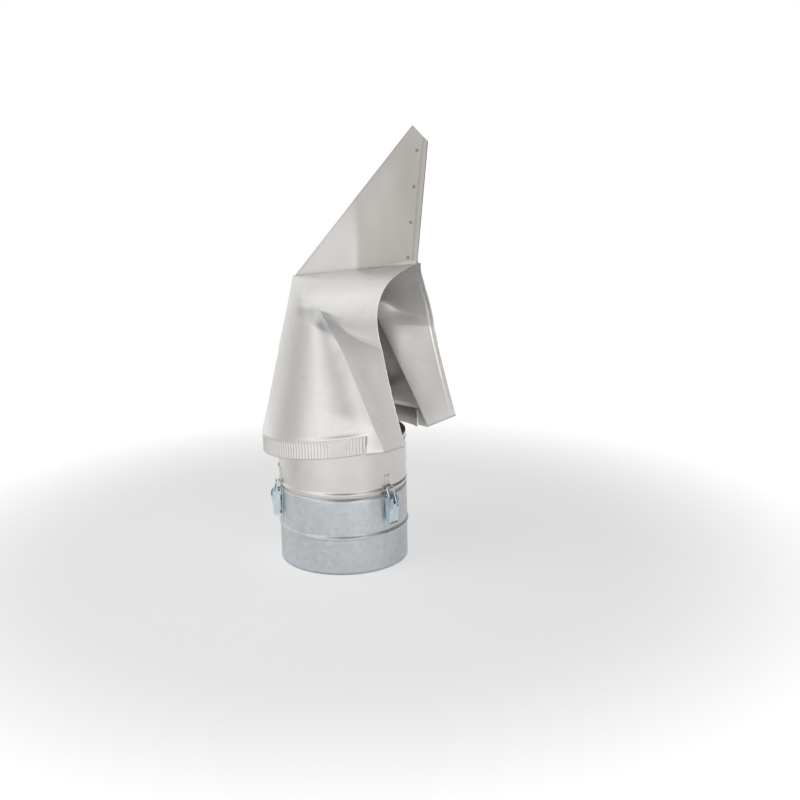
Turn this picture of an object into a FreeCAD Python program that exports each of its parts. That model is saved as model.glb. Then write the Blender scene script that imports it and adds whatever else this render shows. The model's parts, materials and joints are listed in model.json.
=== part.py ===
import FreeCAD, Part
import math
import os

os.makedirs("parts", exist_ok=True)

Vector = FreeCAD.Vector
ORIGIN = Vector(0, 0, 0)
UP = Vector(0, 0, 1)

# Rotating chimney cowl for a round flue. The origin is the centre of the base ring's bottom edge,
# +Z is up along the spindle, +X is leeward, the way the hood's open side and its fin point.

# Driving sizes of the flue parts, in millimetres
flue_diameter = 250.0
ring_wall = 0.8
ring_height = 150.0
ring_bead_below_top = 78.0
ring_bead_rise = 2.6
ring_bead_length = 11.0
collar_wall = 0.8
collar_height = 101.0
spigot_length = 38.0
spigot_clearance = 0.3
collar_bead_rise = 2.2
collar_bead_length = 12.0
rim_bead_rise = 1.2
rim_bead_length = 7.0
rim_bead_below_top = 12.0
seat_gap = 0.3
touch_gap = 0.05
half_turn = 180.0

# Driving sizes of the hood's sheet
sheet = 0.8
skirt_radius = 155.5
skirt_height_at_axis = 232.6
skirt_slope = 0.102
crimp_height = 34.0
crimp_pitch_angle = 2.33
crimp_depth = 1.5
crimp_rim = 1.0
crimp_rim_rise = 0.3
seam_angle = 42.5
seam_lip_width = 3.0
seam_lip_angle = 0.25
seam_lip_above_crimp = 4.0
cone_start_height = 252.0
cone_start_rounding = 16.0
cone_taper = 0.2346
ridge_x = -94.0
ridge_z = 550.6
ridge_slope = 0.141
prow_start_height = 430.0
prow_reach = 11.0
prow_point = 0.6
roof_radius_at_axis = 97.7
roof_radius_slope = 0.11
crease_foot_x = 141.5
crease_foot_z = 247.0
crease_lean = 0.4795
crease_foot_y = 95.5
crease_inward = 0.0425
crease_top_z = 447.0
crease_end_x = 20.0
crease_top_spread = 0.2
crease_power_low = 7.5
crease_power_high = 2.2
crease_power_from = 270.0
crease_power_to = 330.0
flap_corner_lift = 18.6
flap_rear_pull = 5.5
flap_rear_pull_height = 176.0
wall_rounding = 6.0
front_rounding = 24.0
shoulder_rounding = 3.0
side_shoulder_z = 470.0
front_shoulder_z = 495.0
top_shoulder_z = 505.0
side_shoulder_rate = 0.0075
front_shoulder_rate = 0.012
top_shoulder_rate = 0.05
shoulder_front_x = -60.0
shoulder_side_x = -20.0
hump_end_slope = 3.0
throat_x = 138.0
throat_z = 520.0
throat_rate = 0.0565
throat_power = 1.249
roof_overhang = 30.5

# Driving sizes of the fin
fin_tip_x = 163.6
fin_tip_z = 839.0
fin_cut_x = 193.6
fin_cut_z = 809.8
fin_heel_x = 168.6
fin_foot_below_ridge = 4.0
fin_hem_width = 10.0
fin_front_thickness = 9.0
fin_foot_half_width = 16.0
fin_flat_width = 16.0
fin_pinch_length = 90.0
fin_rivet_radius = 2.0
fin_rivet_head_radius = 3.2
fin_rivet_head_height = 0.9
fin_rivet_count = 4
fin_rivet_inset = 19.5
fin_rivet_start = 0.044
fin_rivet_step = 0.295

# Driving sizes of the spindle and its carriers
spindle_radius = 6.0
bar_width = 25.0
bar_thickness = 3.0
bar_tab = 22.0
lower_bar_above_ring = 26.0
upper_bar_below_top = 25.0
nut_flats = 18.0
nut_height = 9.0
washer_radius = 12.0
washer_thickness = 1.6
rivet_radius = 2.4
rivet_head_radius = 4.4
rivet_head_height = 1.8
rivet_tail_radius = 3.6
rivet_tail_height = 1.4
bar_angle = 35.0
guide_strap_z = 292.0
pivot_strap_z = 436.0
strap_gap = 0.2
running_gap = 0.1
cup_radius = 14.0
cup_length = 34.0
cup_depth = 26.0
ball_radius = 5.0
bush_radius = 11.0
bush_flange_radius = 15.0
bush_flange = 2.5
bush_length = 22.0

# Driving sizes of the draw latches
latch_angles = (-18.4, -136.4, 102.6)
plate_width = 22.0
plate_wall = 1.2
plate_length_below_pivot = 56.0
pivot_reach = 6.5
pivot_below_ring_top = 4.0
crank = 18.0
crank_angle = 27.0
bar_reach = 6.0
bar_above_pivot = 17.5
hook_gap = 0.7
hook_lip_rise = 1.2
wire_radius = 1.6
pin_radius = 1.6
ear_offset = 5.0
arm_offset = 8.0
lever_half_width = 11.4
lever_length = 51.0
lever_back_start = 21.0
lever_tongue_start = 13.5
catch_width = 12.0
catch_top_above_bar = 22.5
catch_strip_length = 18.5

# Sizes worked out from the driving ones
ring_radius = flue_diameter / 2
collar_radius = ring_radius - 0.4
spigot_radius = ring_radius - ring_wall - spigot_clearance
collar_inner = collar_radius - collar_wall
joint_z = ring_height + seat_gap
collar_top = ring_height + collar_height
ring_bead_height = ring_height - ring_bead_below_top
lower_bar_z = ring_height + lower_bar_above_ring
upper_bar_z = collar_top - upper_bar_below_top
pivot_z = ring_height - pivot_below_ring_top
plate_bottom = pivot_z - plate_length_below_pivot
bar_z = pivot_z + bar_above_pivot
catch_top = bar_z + catch_top_above_bar


def smooth_min(a, b, r):
    """Lower of two values, rounded where they meet."""
    h = max(r - abs(a - b), 0.0)
    return min(a, b) - h * h / (4 * r) if r > 0 else min(a, b)


def smooth_max(a, b, r):
    return -smooth_min(-a, -b, r)


def smooth_step(a, b, x):
    t = min(max((x - a) / (b - a), 0.0), 1.0)
    return t * t * (3 - 2 * t)


# The hood's sheet, as a height field of half widths y over x and z


def cone_radius(z):
    """Radius of the round front at a height."""
    return skirt_radius - cone_taper * smooth_max(z - cone_start_height, 0.0, cone_start_rounding)


def prow_share(z):
    """How far the front has grown into its slight prow under the fin's foot."""
    return min(max((z - prow_start_height) / (ridge_z - prow_start_height), 0.0), 1.1) ** 2


def front_x(z):
    return -cone_radius(z) - prow_reach * prow_share(z)


def front_y(x, z, radius):
    """Half width of a level section: a circle leeward, drawn out to the prow at the front."""
    if x >= 0:
        return math.sqrt(max(radius * radius - x * x, 0.0))
    power = 2.0 - prow_point * prow_share(z)
    share = min(x / (front_x(z) + cone_radius(z) - radius), 1.0)
    return radius * max(1 - share ** power, 0.0) ** (1 / power)


def skirt_height(x):
    return skirt_height_at_axis + skirt_slope * x


def ridge_height(x):
    return ridge_z + ridge_slope * (x - ridge_x)


def roof_radius(x):
    return roof_radius_at_axis + roof_radius_slope * x


def spring_height(x):
    return ridge_height(x) - roof_radius(x)


def level_height(x, level):
    """Height of a section: level 0 is the skirt, 1 the spring of the arch, 2 the ridge."""
    if level <= 1:
        return skirt_height(x) + (spring_height(x) - skirt_height(x)) * level
    rise = math.sin((level - 1) * math.pi / 2)
    return spring_height(x) + roof_radius(x) * rise


def crease_x(z):
    return crease_foot_x - crease_lean * (z - crease_foot_z)


def crease_y(z):
    if z <= crease_top_z:
        return crease_foot_y - crease_inward * (z - crease_foot_z)
    return crease_y(crease_top_z) + crease_top_spread * (z - crease_top_z)


def rear_x(z, level):
    """How far leeward the sheet reaches at a height."""
    x = throat_x + throat_rate * max(throat_z - z, 0.0) ** throat_power
    if level > 1:
        x += roof_overhang * math.sin((level - 1) * math.pi / 2) ** 7
    return x


def rear_y(z):
    drop = max((crease_top_z - z) / flap_rear_pull_height, 0.0)
    return roof_radius(rear_x(z, 0)) - flap_rear_pull * drop * drop


def flap_y(x, z):
    """Flat flap between the crease and the rear edge."""
    share = (x - crease_x(z)) / (rear_x(z, 0) - crease_x(z))
    return crease_y(z) + (rear_y(z) - crease_y(z)) * share


def arch_y(x, z):
    """Half width of the arched roof and of the upright walls under it."""
    r = roof_radius(x)
    rise = min(max((z - spring_height(x)) / r, 0.0), 1.0)
    return r * math.sqrt(max(1 - rise * rise, 0.0))


def hump_y(x, z):
    """Half width of the round front, closing in to the crease and rounding off at its top."""
    side = smooth_step(shoulder_front_x, shoulder_side_x, x)
    drop = side * side_shoulder_rate * max(z - side_shoulder_z, 0.0) ** 2
    drop += (1 - side) * front_shoulder_rate * max(z - front_shoulder_z, 0.0) ** 2
    drop += top_shoulder_rate * max(z - top_shoulder_z, 0.0) ** 2
    r = max(cone_radius(z) - drop, 1.0)
    y = front_y(x, z, r)
    if x <= 0:
        return y
    xc = max(crease_x(z), crease_end_x)
    yc = crease_y(z) - drop
    if x > xc:
        return yc - hump_end_slope * (x - xc)
    miss = yc - math.sqrt(max(r * r - xc * xc, 0.0))
    rise = smooth_step(crease_power_from, crease_power_to, z)
    power = crease_power_low + (crease_power_high - crease_power_low) * rise
    return y + miss * (x / xc) ** power


def half_width(x, z):
    """Half width of the sheet: the walls, rounded in at the front, or the round front outside them."""
    wall = smooth_min(arch_y(x, z), flap_y(x, z), wall_rounding)
    if x < 0:
        nose = front_y(x, z, cone_radius(z))
        blend = min(front_rounding, 0.6 * nose, 0.6 * wall)
        wall = smooth_min(nose, wall, blend) if blend > 0.01 else min(nose, wall)
    return smooth_max(wall, hump_y(x, z), shoulder_rounding)


def nose_x(level):
    x = -150.0
    for _ in range(12):
        x = front_x(level_height(x, level))
    return x


def edge_x(level):
    x = 160.0
    for _ in range(12):
        x = rear_x(lifted_height(x, level, x), level)
    return x


def lifted_height(x, level, end_x):
    """Height of a section with the flap's lower edge swept up towards its rear corner."""
    z = level_height(x, level)
    foot = crease_x(z)
    if x <= foot or level >= 1:
        return z
    return z + flap_corner_lift * (1 - level) ** 3 * (x - foot) / (end_x - foot)


def fold_x(level):
    x = 100.0
    for _ in range(12):
        x = max(crease_x(level_height(x, level)), crease_end_x)
    return x


def hood_point(along, level):
    """Outside of the sheet's near half: along 0 is the rear edge, 1 the crease, 2 the front."""
    rear = edge_x(level)
    fold = fold_x(level)
    if along <= 1:
        x = rear + (fold - rear) * along
    else:
        nose = nose_x(level)
        x = nose + (fold - nose) * (1 + math.cos(math.pi * (along - 1))) / 2
    z = lifted_height(x, level, rear)
    on_plane = along >= 2 or level >= 2
    y = 0.0 if on_plane else half_width(x, z)
    return Vector(x, -y, z)


def hood_normal(along, level):
    """Outward normal of the sheet, from neighbouring points on the same side of the crease."""
    step = 0.004
    low, high = (0.0, 1.0) if along <= 1 else (1.0, 2.0)
    a0, a1 = max(along - step, low + 1e-6), min(along + step, high)
    l0, l1 = max(level - step, 0.0), min(level + step, 2.0)
    if along == 1.0:
        a0, a1 = 1.0 - step, 1.0 + step
    across = hood_point(a1, level).sub(hood_point(a0, level))
    upward = hood_point(along, l1).sub(hood_point(along, l0))
    normal = across.cross(upward)
    if normal.y > 0:
        normal = normal.multiply(-1)
    return normal.normalize()


def front_corner_inset(depth):
    front = Vector(-1, 0, front_x(ridge_z) - front_x(ridge_z - 1)).normalize()
    top = Vector(-ridge_slope, 0, 1).normalize()
    return front.add(top).multiply(depth / (1 + front.dot(top)))


def sheet_point(along, level, depth):
    """A point under the sheet's outside by a depth, kept in the plane of symmetry at its edge."""
    p = hood_point(along, level)
    if along >= 2 and level >= 2:
        return p.sub(front_corner_inset(depth))
    n = hood_normal(along, level)
    if along >= 2 or level >= 2:
        n = Vector(n.x, 0, n.z).normalize()
    return p.sub(n.multiply(depth))


def curve_through(points):
    """Cubic curve through points at equal steps of its parameter."""
    curve = Part.BSplineCurve()
    curve.interpolate(Points=points, Parameters=[float(i) for i in range(len(points))])
    return curve


def patch(alongs, levels, depth):
    """Smooth surface through a grid of points, so that neighbouring patches share their edges."""
    sections = [curve_through([sheet_point(a, v, depth) for a in alongs]) for v in levels]
    columns = zip(*[section.getPoles() for section in sections])
    rails = [curve_through(list(column)) for column in columns]
    poles = [rail.getPoles() for rail in rails]
    across, up = sections[0], rails[0]
    surface = Part.BSplineSurface()
    surface.buildFromPolesMultsKnots(
        poles, across.getMultiplicities(), up.getMultiplicities(),
        across.getKnots(), up.getKnots(), False, False, 3, 3)
    return surface


def spread(low, high, count):
    return [low + (high - low) * i / (count - 1) for i in range(count)]


def boundary(surface, side):
    u0, u1, v0, v1 = surface.bounds()
    if side == "bottom":
        return surface.vIso(v0).toShape()
    if side == "top":
        return surface.vIso(v1).toShape()
    if side == "start":
        return surface.uIso(u0).toShape()
    if side == "end":
        return surface.uIso(u1).toShape()
    raise ValueError(side)


def mirrored(shape):
    return shape.mirror(ORIGIN, Vector(0, 1, 0))


def sewn_solid(faces):
    skin = Part.Compound(faces)
    skin.sewShape(0.01)
    solid = Part.Solid(Part.Shell(skin.Faces))
    solid.fix(0.01, 0.01, 0.01)
    if solid.Volume < 0:
        solid.reverse()
    return solid


def hood_sheet():
    """The whole folded sheet: two halves of two patches, with an inside a sheet's thickness below."""
    levels = spread(0, 1, 13) + spread(1, 2, 13)[1:]
    flap = spread(0, 1, 7)
    front = spread(1, 2, 19)
    faces = []
    for alongs in (flap, front):
        outer = patch(alongs, levels, 0.0)
        inner = patch(alongs, levels, sheet)
        half = [outer.toShape(), inner.toShape()]
        half.append(Part.makeRuledSurface(boundary(outer, "bottom"), boundary(inner, "bottom")))
        if alongs is flap:
            half.append(Part.makeRuledSurface(boundary(outer, "start"), boundary(inner, "start")))
        faces += half + [mirrored(f) for f in half]
    return sewn_solid(faces)


# Helpers for plain solids


def cylinder(radius, bottom, top, x=0.0, y=0.0):
    return Part.makeCylinder(radius, top - bottom, Vector(x, y, bottom), UP)


def box(x0, x1, y0, y1, z0, z1):
    return Part.makeBox(x1 - x0, y1 - y0, z1 - z0, Vector(x0, y0, z0))


def tube(outer, inner, bottom, top):
    return cylinder(outer, bottom, top).cut(cylinder(inner, bottom, top))


def line(a, b):
    return Part.LineSegment(a, b).toShape()


def arc(a, b, c):
    return Part.Arc(a, b, c).toShape()


def turned(edges):
    """Solid of revolution about the upright axis from the edges of a closed profile in the XZ plane."""
    return Part.Face(Part.Wire(edges)).revolve(ORIGIN, UP, 360)


def extruded(points, y0, y1):
    """Plate with an outline in the XZ plane, from one Y to another."""
    outline = Part.makePolygon([Vector(x, y0, z) for x, z in points + points[:1]])
    return Part.Face(outline).extrude(Vector(0, y1 - y0, 0))


def placed(shape, angle):
    copy = shape.copy()
    copy.rotate(ORIGIN, UP, angle)
    return copy


def save(name, shape):
    shape.exportStep("parts/" + name + ".step")


# Flue parts: rolled rings with beads


def rolled_wall(stations, wall):
    """Ring of thin sheet. Stations are (radius, height, rise): a rise above 0 is a bead's middle."""
    def side(inset):
        points = [(Vector(r + rise - inset, 0, z), rise) for r, z, rise in stations]
        edges = []
        i = 0
        while i < len(points) - 1:
            if points[i + 1][1] > 0:
                edges.append(arc(points[i][0], points[i + 1][0], points[i + 2][0]))
                i += 2
            else:
                edges.append(line(points[i][0], points[i + 1][0]))
                i += 1
        return edges, points[0][0], points[-1][0]

    outer, outer_start, outer_end = side(0.0)
    inner, inner_start, inner_end = side(wall)
    return turned(outer + [line(outer_end, inner_end)] + inner[::-1] + [line(inner_start, outer_start)])


def bead(radius, middle, length, rise):
    return [(radius, middle - length / 2, 0), (radius, middle, rise), (radius, middle + length / 2, 0)]


def base_ring():
    stations = [(ring_radius, 0, 0)]
    stations += bead(ring_radius, ring_bead_height, ring_bead_length, ring_bead_rise)
    stations.append((ring_radius, ring_height, 0))
    return rolled_wall(stations, ring_wall)


def collar():
    bead_middle = joint_z + collar_bead_length / 2 + 1.0
    rim_middle = collar_top - rim_bead_below_top
    stations = [(spigot_radius, ring_height - spigot_length, 0), (spigot_radius, joint_z, 0)]
    stations += [(collar_radius, joint_z + 0.2, 0)]
    stations += bead(collar_radius, bead_middle, collar_bead_length, collar_bead_rise)
    stations += bead(collar_radius, rim_middle, rim_bead_length, rim_bead_rise)
    stations.append((collar_radius, collar_top, 0))
    return rolled_wall(stations, collar_wall)


# Spindle and the flat bars that carry it


def rivet(length, tail):
    """Rivet along +Z with its head's underside at 0, its shank going down, and a closed tail or none."""
    shank = cylinder(rivet_radius - touch_gap, -length - tail, 0)
    dome_radius = rivet_head_radius * 1.3
    dome = Part.makeSphere(dome_radius, Vector(0, 0, rivet_head_height - dome_radius))
    parts = [dome.common(cylinder(rivet_head_radius, 0, rivet_head_radius))]
    if tail > 0:
        parts.append(cylinder(rivet_tail_radius, -length - tail, -length))
    return shank.fuse(parts)


def rivet_facing(length, place, outward, tail=0.0):
    shape = rivet(length, tail)
    turn = FreeCAD.Rotation(UP, outward)
    shape.Placement = FreeCAD.Placement(place, turn)
    return shape


def cross_bar(z, tab_down):
    """Flat bar across the collar along X, with its ends bent along the wall and a hole for the spindle."""
    reach = collar_inner - touch_gap
    bottom = z - bar_thickness / 2
    top = z + bar_thickness / 2
    span = box(-reach - 1, reach + 1, -bar_width / 2, bar_width / 2, bottom, top)
    low, high = (top - bar_tab, top) if tab_down else (bottom, bottom + bar_tab)
    tabs = box(-reach - 1, reach + 1, -bar_width / 2, bar_width / 2, low, high)
    tabs = tabs.cut(cylinder(reach - bar_thickness, low - 1, high + 1))
    bar = span.fuse(tabs).common(cylinder(reach, low - 1, high + 1))
    bar = bar.cut(cylinder(spindle_radius + touch_gap, low - 1, high + 1))
    for end in (0, half_turn):
        bar = bar.cut(wall_hole(rivet_radius, reach, bar_rivet_z(z, tab_down), end))
    return bar.removeSplitter()


def bar_rivet_z(z, tab_down):
    middle = bar_tab / 2 + bar_thickness / 4
    return z - middle if tab_down else z + middle


def wall_hole(radius, reach, z, angle):
    hole = Part.makeCylinder(radius, 12, Vector(reach - 6, 0, z), Vector(1, 0, 0))
    return placed(hole, angle)


def bar_rivets(z, tab_down):
    rivets = []
    for turn in (bar_angle, bar_angle + half_turn):
        place = Vector(collar_radius + touch_gap, 0, bar_rivet_z(z, tab_down))
        length = collar_wall + bar_thickness + 4 * touch_gap
        shape = rivet_facing(length, place, Vector(1, 0, 0), rivet_tail_height)
        rivets.append(placed(shape, turn))
    return rivets


def with_bar_holes(shape):
    for z, down in ((lower_bar_z, False), (upper_bar_z, True)):
        for turn in (bar_angle, bar_angle + half_turn):
            shape = shape.cut(wall_hole(rivet_radius, collar_radius, bar_rivet_z(z, down), turn))
    return shape


spindle_bottom = lower_bar_z - bar_thickness / 2 - washer_thickness - nut_height - 6.0
cup_top = pivot_strap_z - bar_thickness / 2
cup_bottom = cup_top - cup_length
cup_ceiling = cup_bottom + cup_depth
ball_middle = cup_ceiling - touch_gap - ball_radius
spindle_top = ball_middle - ball_radius - touch_gap


def spindle():
    rod = cylinder(spindle_radius, spindle_bottom, spindle_top)
    rod = rod.makeChamfer(1.0, [e for e in rod.Edges if len(e.Vertexes) == 1])
    return rod


def hex_nut(bottom):
    corner = nut_flats / math.sqrt(3)
    points = [Vector(corner * math.cos(math.radians(60 * i)), corner * math.sin(math.radians(60 * i)), bottom)
              for i in range(7)]
    nut = Part.Face(Part.makePolygon(points)).extrude(Vector(0, 0, nut_height))
    for base, way in ((bottom, UP), (bottom + nut_height, -UP)):
        cone = Part.makeCone(nut_flats / 2, nut_flats / 2 + 2 * nut_height, nut_height, Vector(0, 0, base), way)
        nut = nut.common(cone)
    return nut.cut(cylinder(spindle_radius + touch_gap, bottom - 1, bottom + nut_height + 1))


def washer(bottom):
    return tube(washer_radius, spindle_radius + touch_gap, bottom, bottom + washer_thickness)


def spindle_hardware():
    """Nuts and washers above and below the lower bar, and above the upper one."""
    under = lower_bar_z - bar_thickness / 2
    over = lower_bar_z + bar_thickness / 2
    high = upper_bar_z + bar_thickness / 2
    washers = [washer(under - washer_thickness), washer(over), washer(high)]
    nuts = [hex_nut(under - washer_thickness - nut_height), hex_nut(over + washer_thickness)]
    nuts.append(hex_nut(high + washer_thickness))
    return nuts, washers


# Carriers inside the hood


def hood_inner_radius(z):
    """Largest radius about the axis that stays inside the sheet over a strap's width."""
    edges = (-bar_width / 2, 0.0, bar_width / 2)
    outside = min(math.hypot(x, half_width(x, z)) for x in edges)
    return outside - sheet * math.sqrt(1 + cone_taper ** 2)


def hood_strap(z, hole_radius, inside):
    """Flat bar across the hood along Y, with its ends bent up and trimmed to lie along the sheet."""
    bottom = z - bar_thickness / 2
    top = z + bar_thickness / 2
    reach = skirt_radius
    span = box(-bar_width / 2, bar_width / 2, -reach, reach, bottom, top)
    tabs = box(-bar_width / 2, bar_width / 2, -reach, reach, bottom, bottom + bar_tab)
    strap = span.fuse(tabs.cut(inside(bar_thickness + strap_gap))).common(inside(strap_gap))
    strap = strap.cut(cylinder(hole_radius, bottom - 1, top + 1))
    return strap.removeSplitter()


def cone_inside(z):
    """The space inside the round front near a height, as a cone drawn in by a depth."""
    def inside(depth):
        low, high = z - 20, z + 40
        r_low = hood_inner_radius(low) - depth
        r_high = hood_inner_radius(high) - depth
        return Part.makeCone(r_low, r_high, high - low, Vector(0, 0, low), UP)
    return inside


def pivot_cup():
    body = cylinder(cup_radius, cup_bottom, cup_top)
    bore = cylinder(spindle_radius + running_gap, cup_bottom - 1, cup_ceiling)
    stub = cylinder(bush_radius, cup_top - 0.5, cup_top + bar_thickness + 2)
    return body.fuse(stub).cut(bore).removeSplitter()


def guide_bush():
    top = guide_strap_z + bar_thickness / 2 + bush_flange
    body = cylinder(bush_radius, top - bush_length, top)
    flange = cylinder(bush_flange_radius, top - bush_flange, top)
    bore = cylinder(spindle_radius + running_gap, top - bush_length - 1, top + 1)
    return body.fuse(flange).cut(bore).removeSplitter()


# Crimped skirt round the front of the hood


def section_radius(angle, height):
    """Distance of the sheet's outside from the axis, in a direction, at a height above the skirt's edge."""
    radius = skirt_radius
    for _ in range(30):
        x = radius * math.cos(angle)
        y = half_width(x, skirt_height(x) + height)
        radius += 0.7 * (y - radius * math.sin(angle)) * math.sin(angle)
    return radius


def band_ring(angles, depth, folds):
    """Points round one half of the band, at a depth under the sheet's outside, with or without folds."""
    points = []
    for i, angle in enumerate(angles):
        crimp = crimp_depth if folds and i % 2 else 0.0
        radius = section_radius(angle, crimp_height) - depth - crimp
        points.append(Vector(radius * math.cos(angle), radius * math.sin(angle), 0))
    return points


def band_wall(angles, depths, folds, low, high):
    """Upright wall round the front, cut to a strip along the skirt's slanting edge."""
    outer = band_ring(angles, depths[0], folds)
    inner = band_ring(angles, depths[1], folds)
    outer += [Vector(p.x, -p.y, 0) for p in outer[-2::-1]]
    inner += [Vector(p.x, -p.y, 0) for p in inner[-2::-1]]
    outline = Part.makePolygon(outer + inner[::-1] + outer[:1])
    bottom = skirt_height(-skirt_radius) + low - 2
    top = skirt_height(skirt_radius) + high + 2
    outline.translate(Vector(0, 0, bottom))
    band = Part.Face(outline).extrude(Vector(0, 0, top - bottom))
    return band.common(skirt_slab(low, high))


def crimped_skirt():
    """Band of the sheet's lower edge, folded to a fine zigzag between the two seams, and its plain rim."""
    start = seam_angle + seam_lip_angle
    count = 2 * int(round((half_turn - start) / crimp_pitch_angle))
    angles = [math.radians(a) for a in spread(start, half_turn, count + 1)]
    folded = band_wall(angles, (0.0, sheet), True, 0.0, crimp_height - crimp_rim / 2)
    rim_depths = (-crimp_rim_rise, sheet + crimp_depth + crimp_rim_rise)
    rim = band_wall(angles, rim_depths, False, crimp_height - crimp_rim, crimp_height + crimp_rim)
    return folded.fuse(rim)


def skirt_slab(low, high):
    """Slab parallel to the skirt's lower edge, between two heights above it."""
    reach = 3 * skirt_radius
    points = [(x, skirt_height(x) + h) for x, h in ((-reach, low), (reach, low), (reach, high), (-reach, high))]
    return extruded(points, -reach, reach)


def seam_lip(side):
    """Folded web where the crimped band ends, reaching out from the band to the sheet beyond it."""
    seam = math.radians(seam_angle)
    inner = section_radius(seam, crimp_height) - sheet - crimp_depth
    rows = spread(0.0, crimp_height + seam_lip_above_crimp, 4)
    outline = []
    for height in rows:
        radius = section_radius(seam, height) - sheet / 2
        outline.append((radius, skirt_height(radius * math.cos(seam)) + height))
    outline += [(inner, outline[-1][1]), (inner, outline[0][1])]
    return placed(extruded(outline, -seam_lip_width / 2, seam_lip_width / 2), side * seam_angle)


def hood_shell():
    seam = math.radians(seam_angle)
    seam_x = section_radius(seam, crimp_height) * math.cos(seam)
    cleared = box(-2 * skirt_radius, seam_x, -2 * skirt_radius, 2 * skirt_radius, 0, 2 * skirt_radius)
    cleared = cleared.common(skirt_slab(-50, crimp_height))
    shell = hood_sheet().cut(cleared)
    shell = shell.fuse([crimped_skirt(), seam_lip(1), seam_lip(-1)])
    return shell


# Tail fin


def fin_outline():
    return [(ridge_x, ridge_z), (fin_tip_x, fin_tip_z), (fin_cut_x, fin_cut_z),
            (fin_heel_x, ridge_height(fin_heel_x))]


def hem_outline():
    """Strip along the fin's rear edge, one hem wide."""
    heel_z = ridge_height(fin_heel_x)
    return [(fin_heel_x, heel_z), (fin_cut_x, fin_cut_z), (fin_cut_x - fin_hem_width, fin_cut_z + fin_hem_width),
            (fin_heel_x - fin_hem_width, heel_z - ridge_slope * fin_hem_width)]


def vane():
    """Sheet folded over its sloping front edge, pinched to a flat hem, with feet lying on the roof."""
    outline = fin_outline()
    foot = ridge_z - fin_foot_below_ridge
    half = fin_front_thickness / 2
    flat = sheet + touch_gap
    hem_start = fin_heel_x - fin_hem_width
    flat_start = hem_start - fin_flat_width
    pinch_start = flat_start - fin_pinch_length

    def wedge(depth):
        stations = [(ridge_x - 5, half), (pinch_start, half), (flat_start, flat), (fin_cut_x + 5, flat)]
        left = [Vector(x, max(y - depth, touch_gap), foot) for x, y in stations]
        right = [Vector(p.x, -p.y, foot) for p in left]
        return Part.Face(Part.makePolygon(left + right[::-1] + left[:1])).extrude(Vector(0, 0, fin_tip_z))

    body = extruded(outline, -half, half).common(wedge(0.0))
    fold = fin_front_thickness / 3
    slope = (fin_tip_z - ridge_z) / (fin_tip_x - ridge_x)
    peak = ridge_z + slope * (flat_start - ridge_x - fold)
    inner = [(ridge_x + fold, foot), (flat_start, foot), (flat_start, peak)]
    hollow = extruded(inner, -half, half).common(wedge(sheet))
    hem = extruded(hem_outline(), -2 * sheet, 2 * sheet)
    fin = body.cut(hollow).fuse([hem, fin_feet()])
    for x, z in fin_rivet_places():
        fin = fin.cut(along_y(fin_rivet_radius, -half, half, x, z))
    return fin


def fin_feet():
    """Strips of the fin's sheet bent out along the ridge, lying on the roof."""
    low = 2 - 2 / math.pi * math.asin(fin_foot_half_width / roof_radius(0))
    levels = spread(low, 2, 4)
    alongs = spread(0.06, 1, 5)
    outer = patch(alongs, levels, -sheet - touch_gap)
    inner = patch(alongs, levels, -touch_gap)
    half = [outer.toShape(), inner.toShape()]
    for side in ("bottom", "start", "end"):
        half.append(Part.makeRuledSurface(boundary(outer, side), boundary(inner, side)))
    return sewn_solid(half + [mirrored(f) for f in half])


def fin_rivet_places():
    """Evenly spaced from the heel to the cut corner, inside the hem."""
    heel_z = ridge_height(fin_heel_x)
    places = []
    for i in range(fin_rivet_count):
        share = fin_rivet_start + fin_rivet_step * i
        x = fin_heel_x + (fin_cut_x - fin_heel_x) * share - fin_rivet_inset
        places.append((x, heel_z + (fin_cut_z - heel_z) * share))
    return places


def vane_rivets():
    """Rivets with a low round head on each side of the fin."""
    rivets = []
    face = sheet + 2 * touch_gap
    for x, z in fin_rivet_places():
        shank = along_y(fin_rivet_radius - touch_gap, -face, face, x, z)
        head = along_y(fin_rivet_head_radius, face, face + fin_rivet_head_height, x, z)
        rims = [e for e in head.Edges if e.CenterOfMass.y > face + fin_rivet_head_height - 0.1]
        head = head.makeChamfer(fin_rivet_head_height / 2, rims)
        rivets.append(shank.fuse([head, mirrored(head)]))
    return rivets


# Draw latches, built at angle 0 with their radial direction along +X


def along_y(radius, y0, y1, x, z):
    return Part.makeCylinder(radius, y1 - y0, Vector(x, y0, z), Vector(0, 1, 0))


pivot = (ring_radius + pivot_reach, pivot_z)
crank_rad = math.radians(crank_angle)
knuckle = (pivot[0] + crank * math.sin(crank_rad), pivot_z - crank * math.cos(crank_rad))
hook_bar = (ring_radius + bar_reach, bar_z)
plate_face = ring_radius + touch_gap
plate_rivet_heights = (plate_bottom + 7.0, plate_bottom + 36.0)
catch_rivet_heights = (catch_top - 13.4, catch_top - 4.5)


def curved_plate(inner, wall, half, low, high):
    """Piece of a ring, cut to a width."""
    return tube(inner + wall, inner, low, high).common(box(0, 2 * inner, -half, half, low, high))


def latch_plate():
    plate = curved_plate(plate_face, plate_wall, plate_width / 2, plate_bottom, pivot_z + 1)
    reach = pivot[0] + 3.6
    root = plate_face + 0.4
    ear_points = [(root, pivot_z - 12), (reach - 4, pivot_z - 8), (reach, pivot_z), (root, pivot_z + 1)]
    near, far = ear_offset - plate_wall / 2, ear_offset + plate_wall / 2
    ear = extruded(ear_points, near, far).fuse(along_y(3.6, near, far, *pivot))
    ear = ear.cut(along_y(pin_radius + touch_gap, near - 1, far + 1, *pivot))
    plate = plate.fuse([ear, mirrored(ear)])
    return with_rivet_holes(plate, plate_rivet_heights, ring_radius)


def with_rivet_holes(shape, heights, reach):
    for z in heights:
        shape = shape.cut(Part.makeCylinder(rivet_radius, 12, Vector(reach - 6, 0, z), Vector(1, 0, 0)))
    return shape


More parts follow.
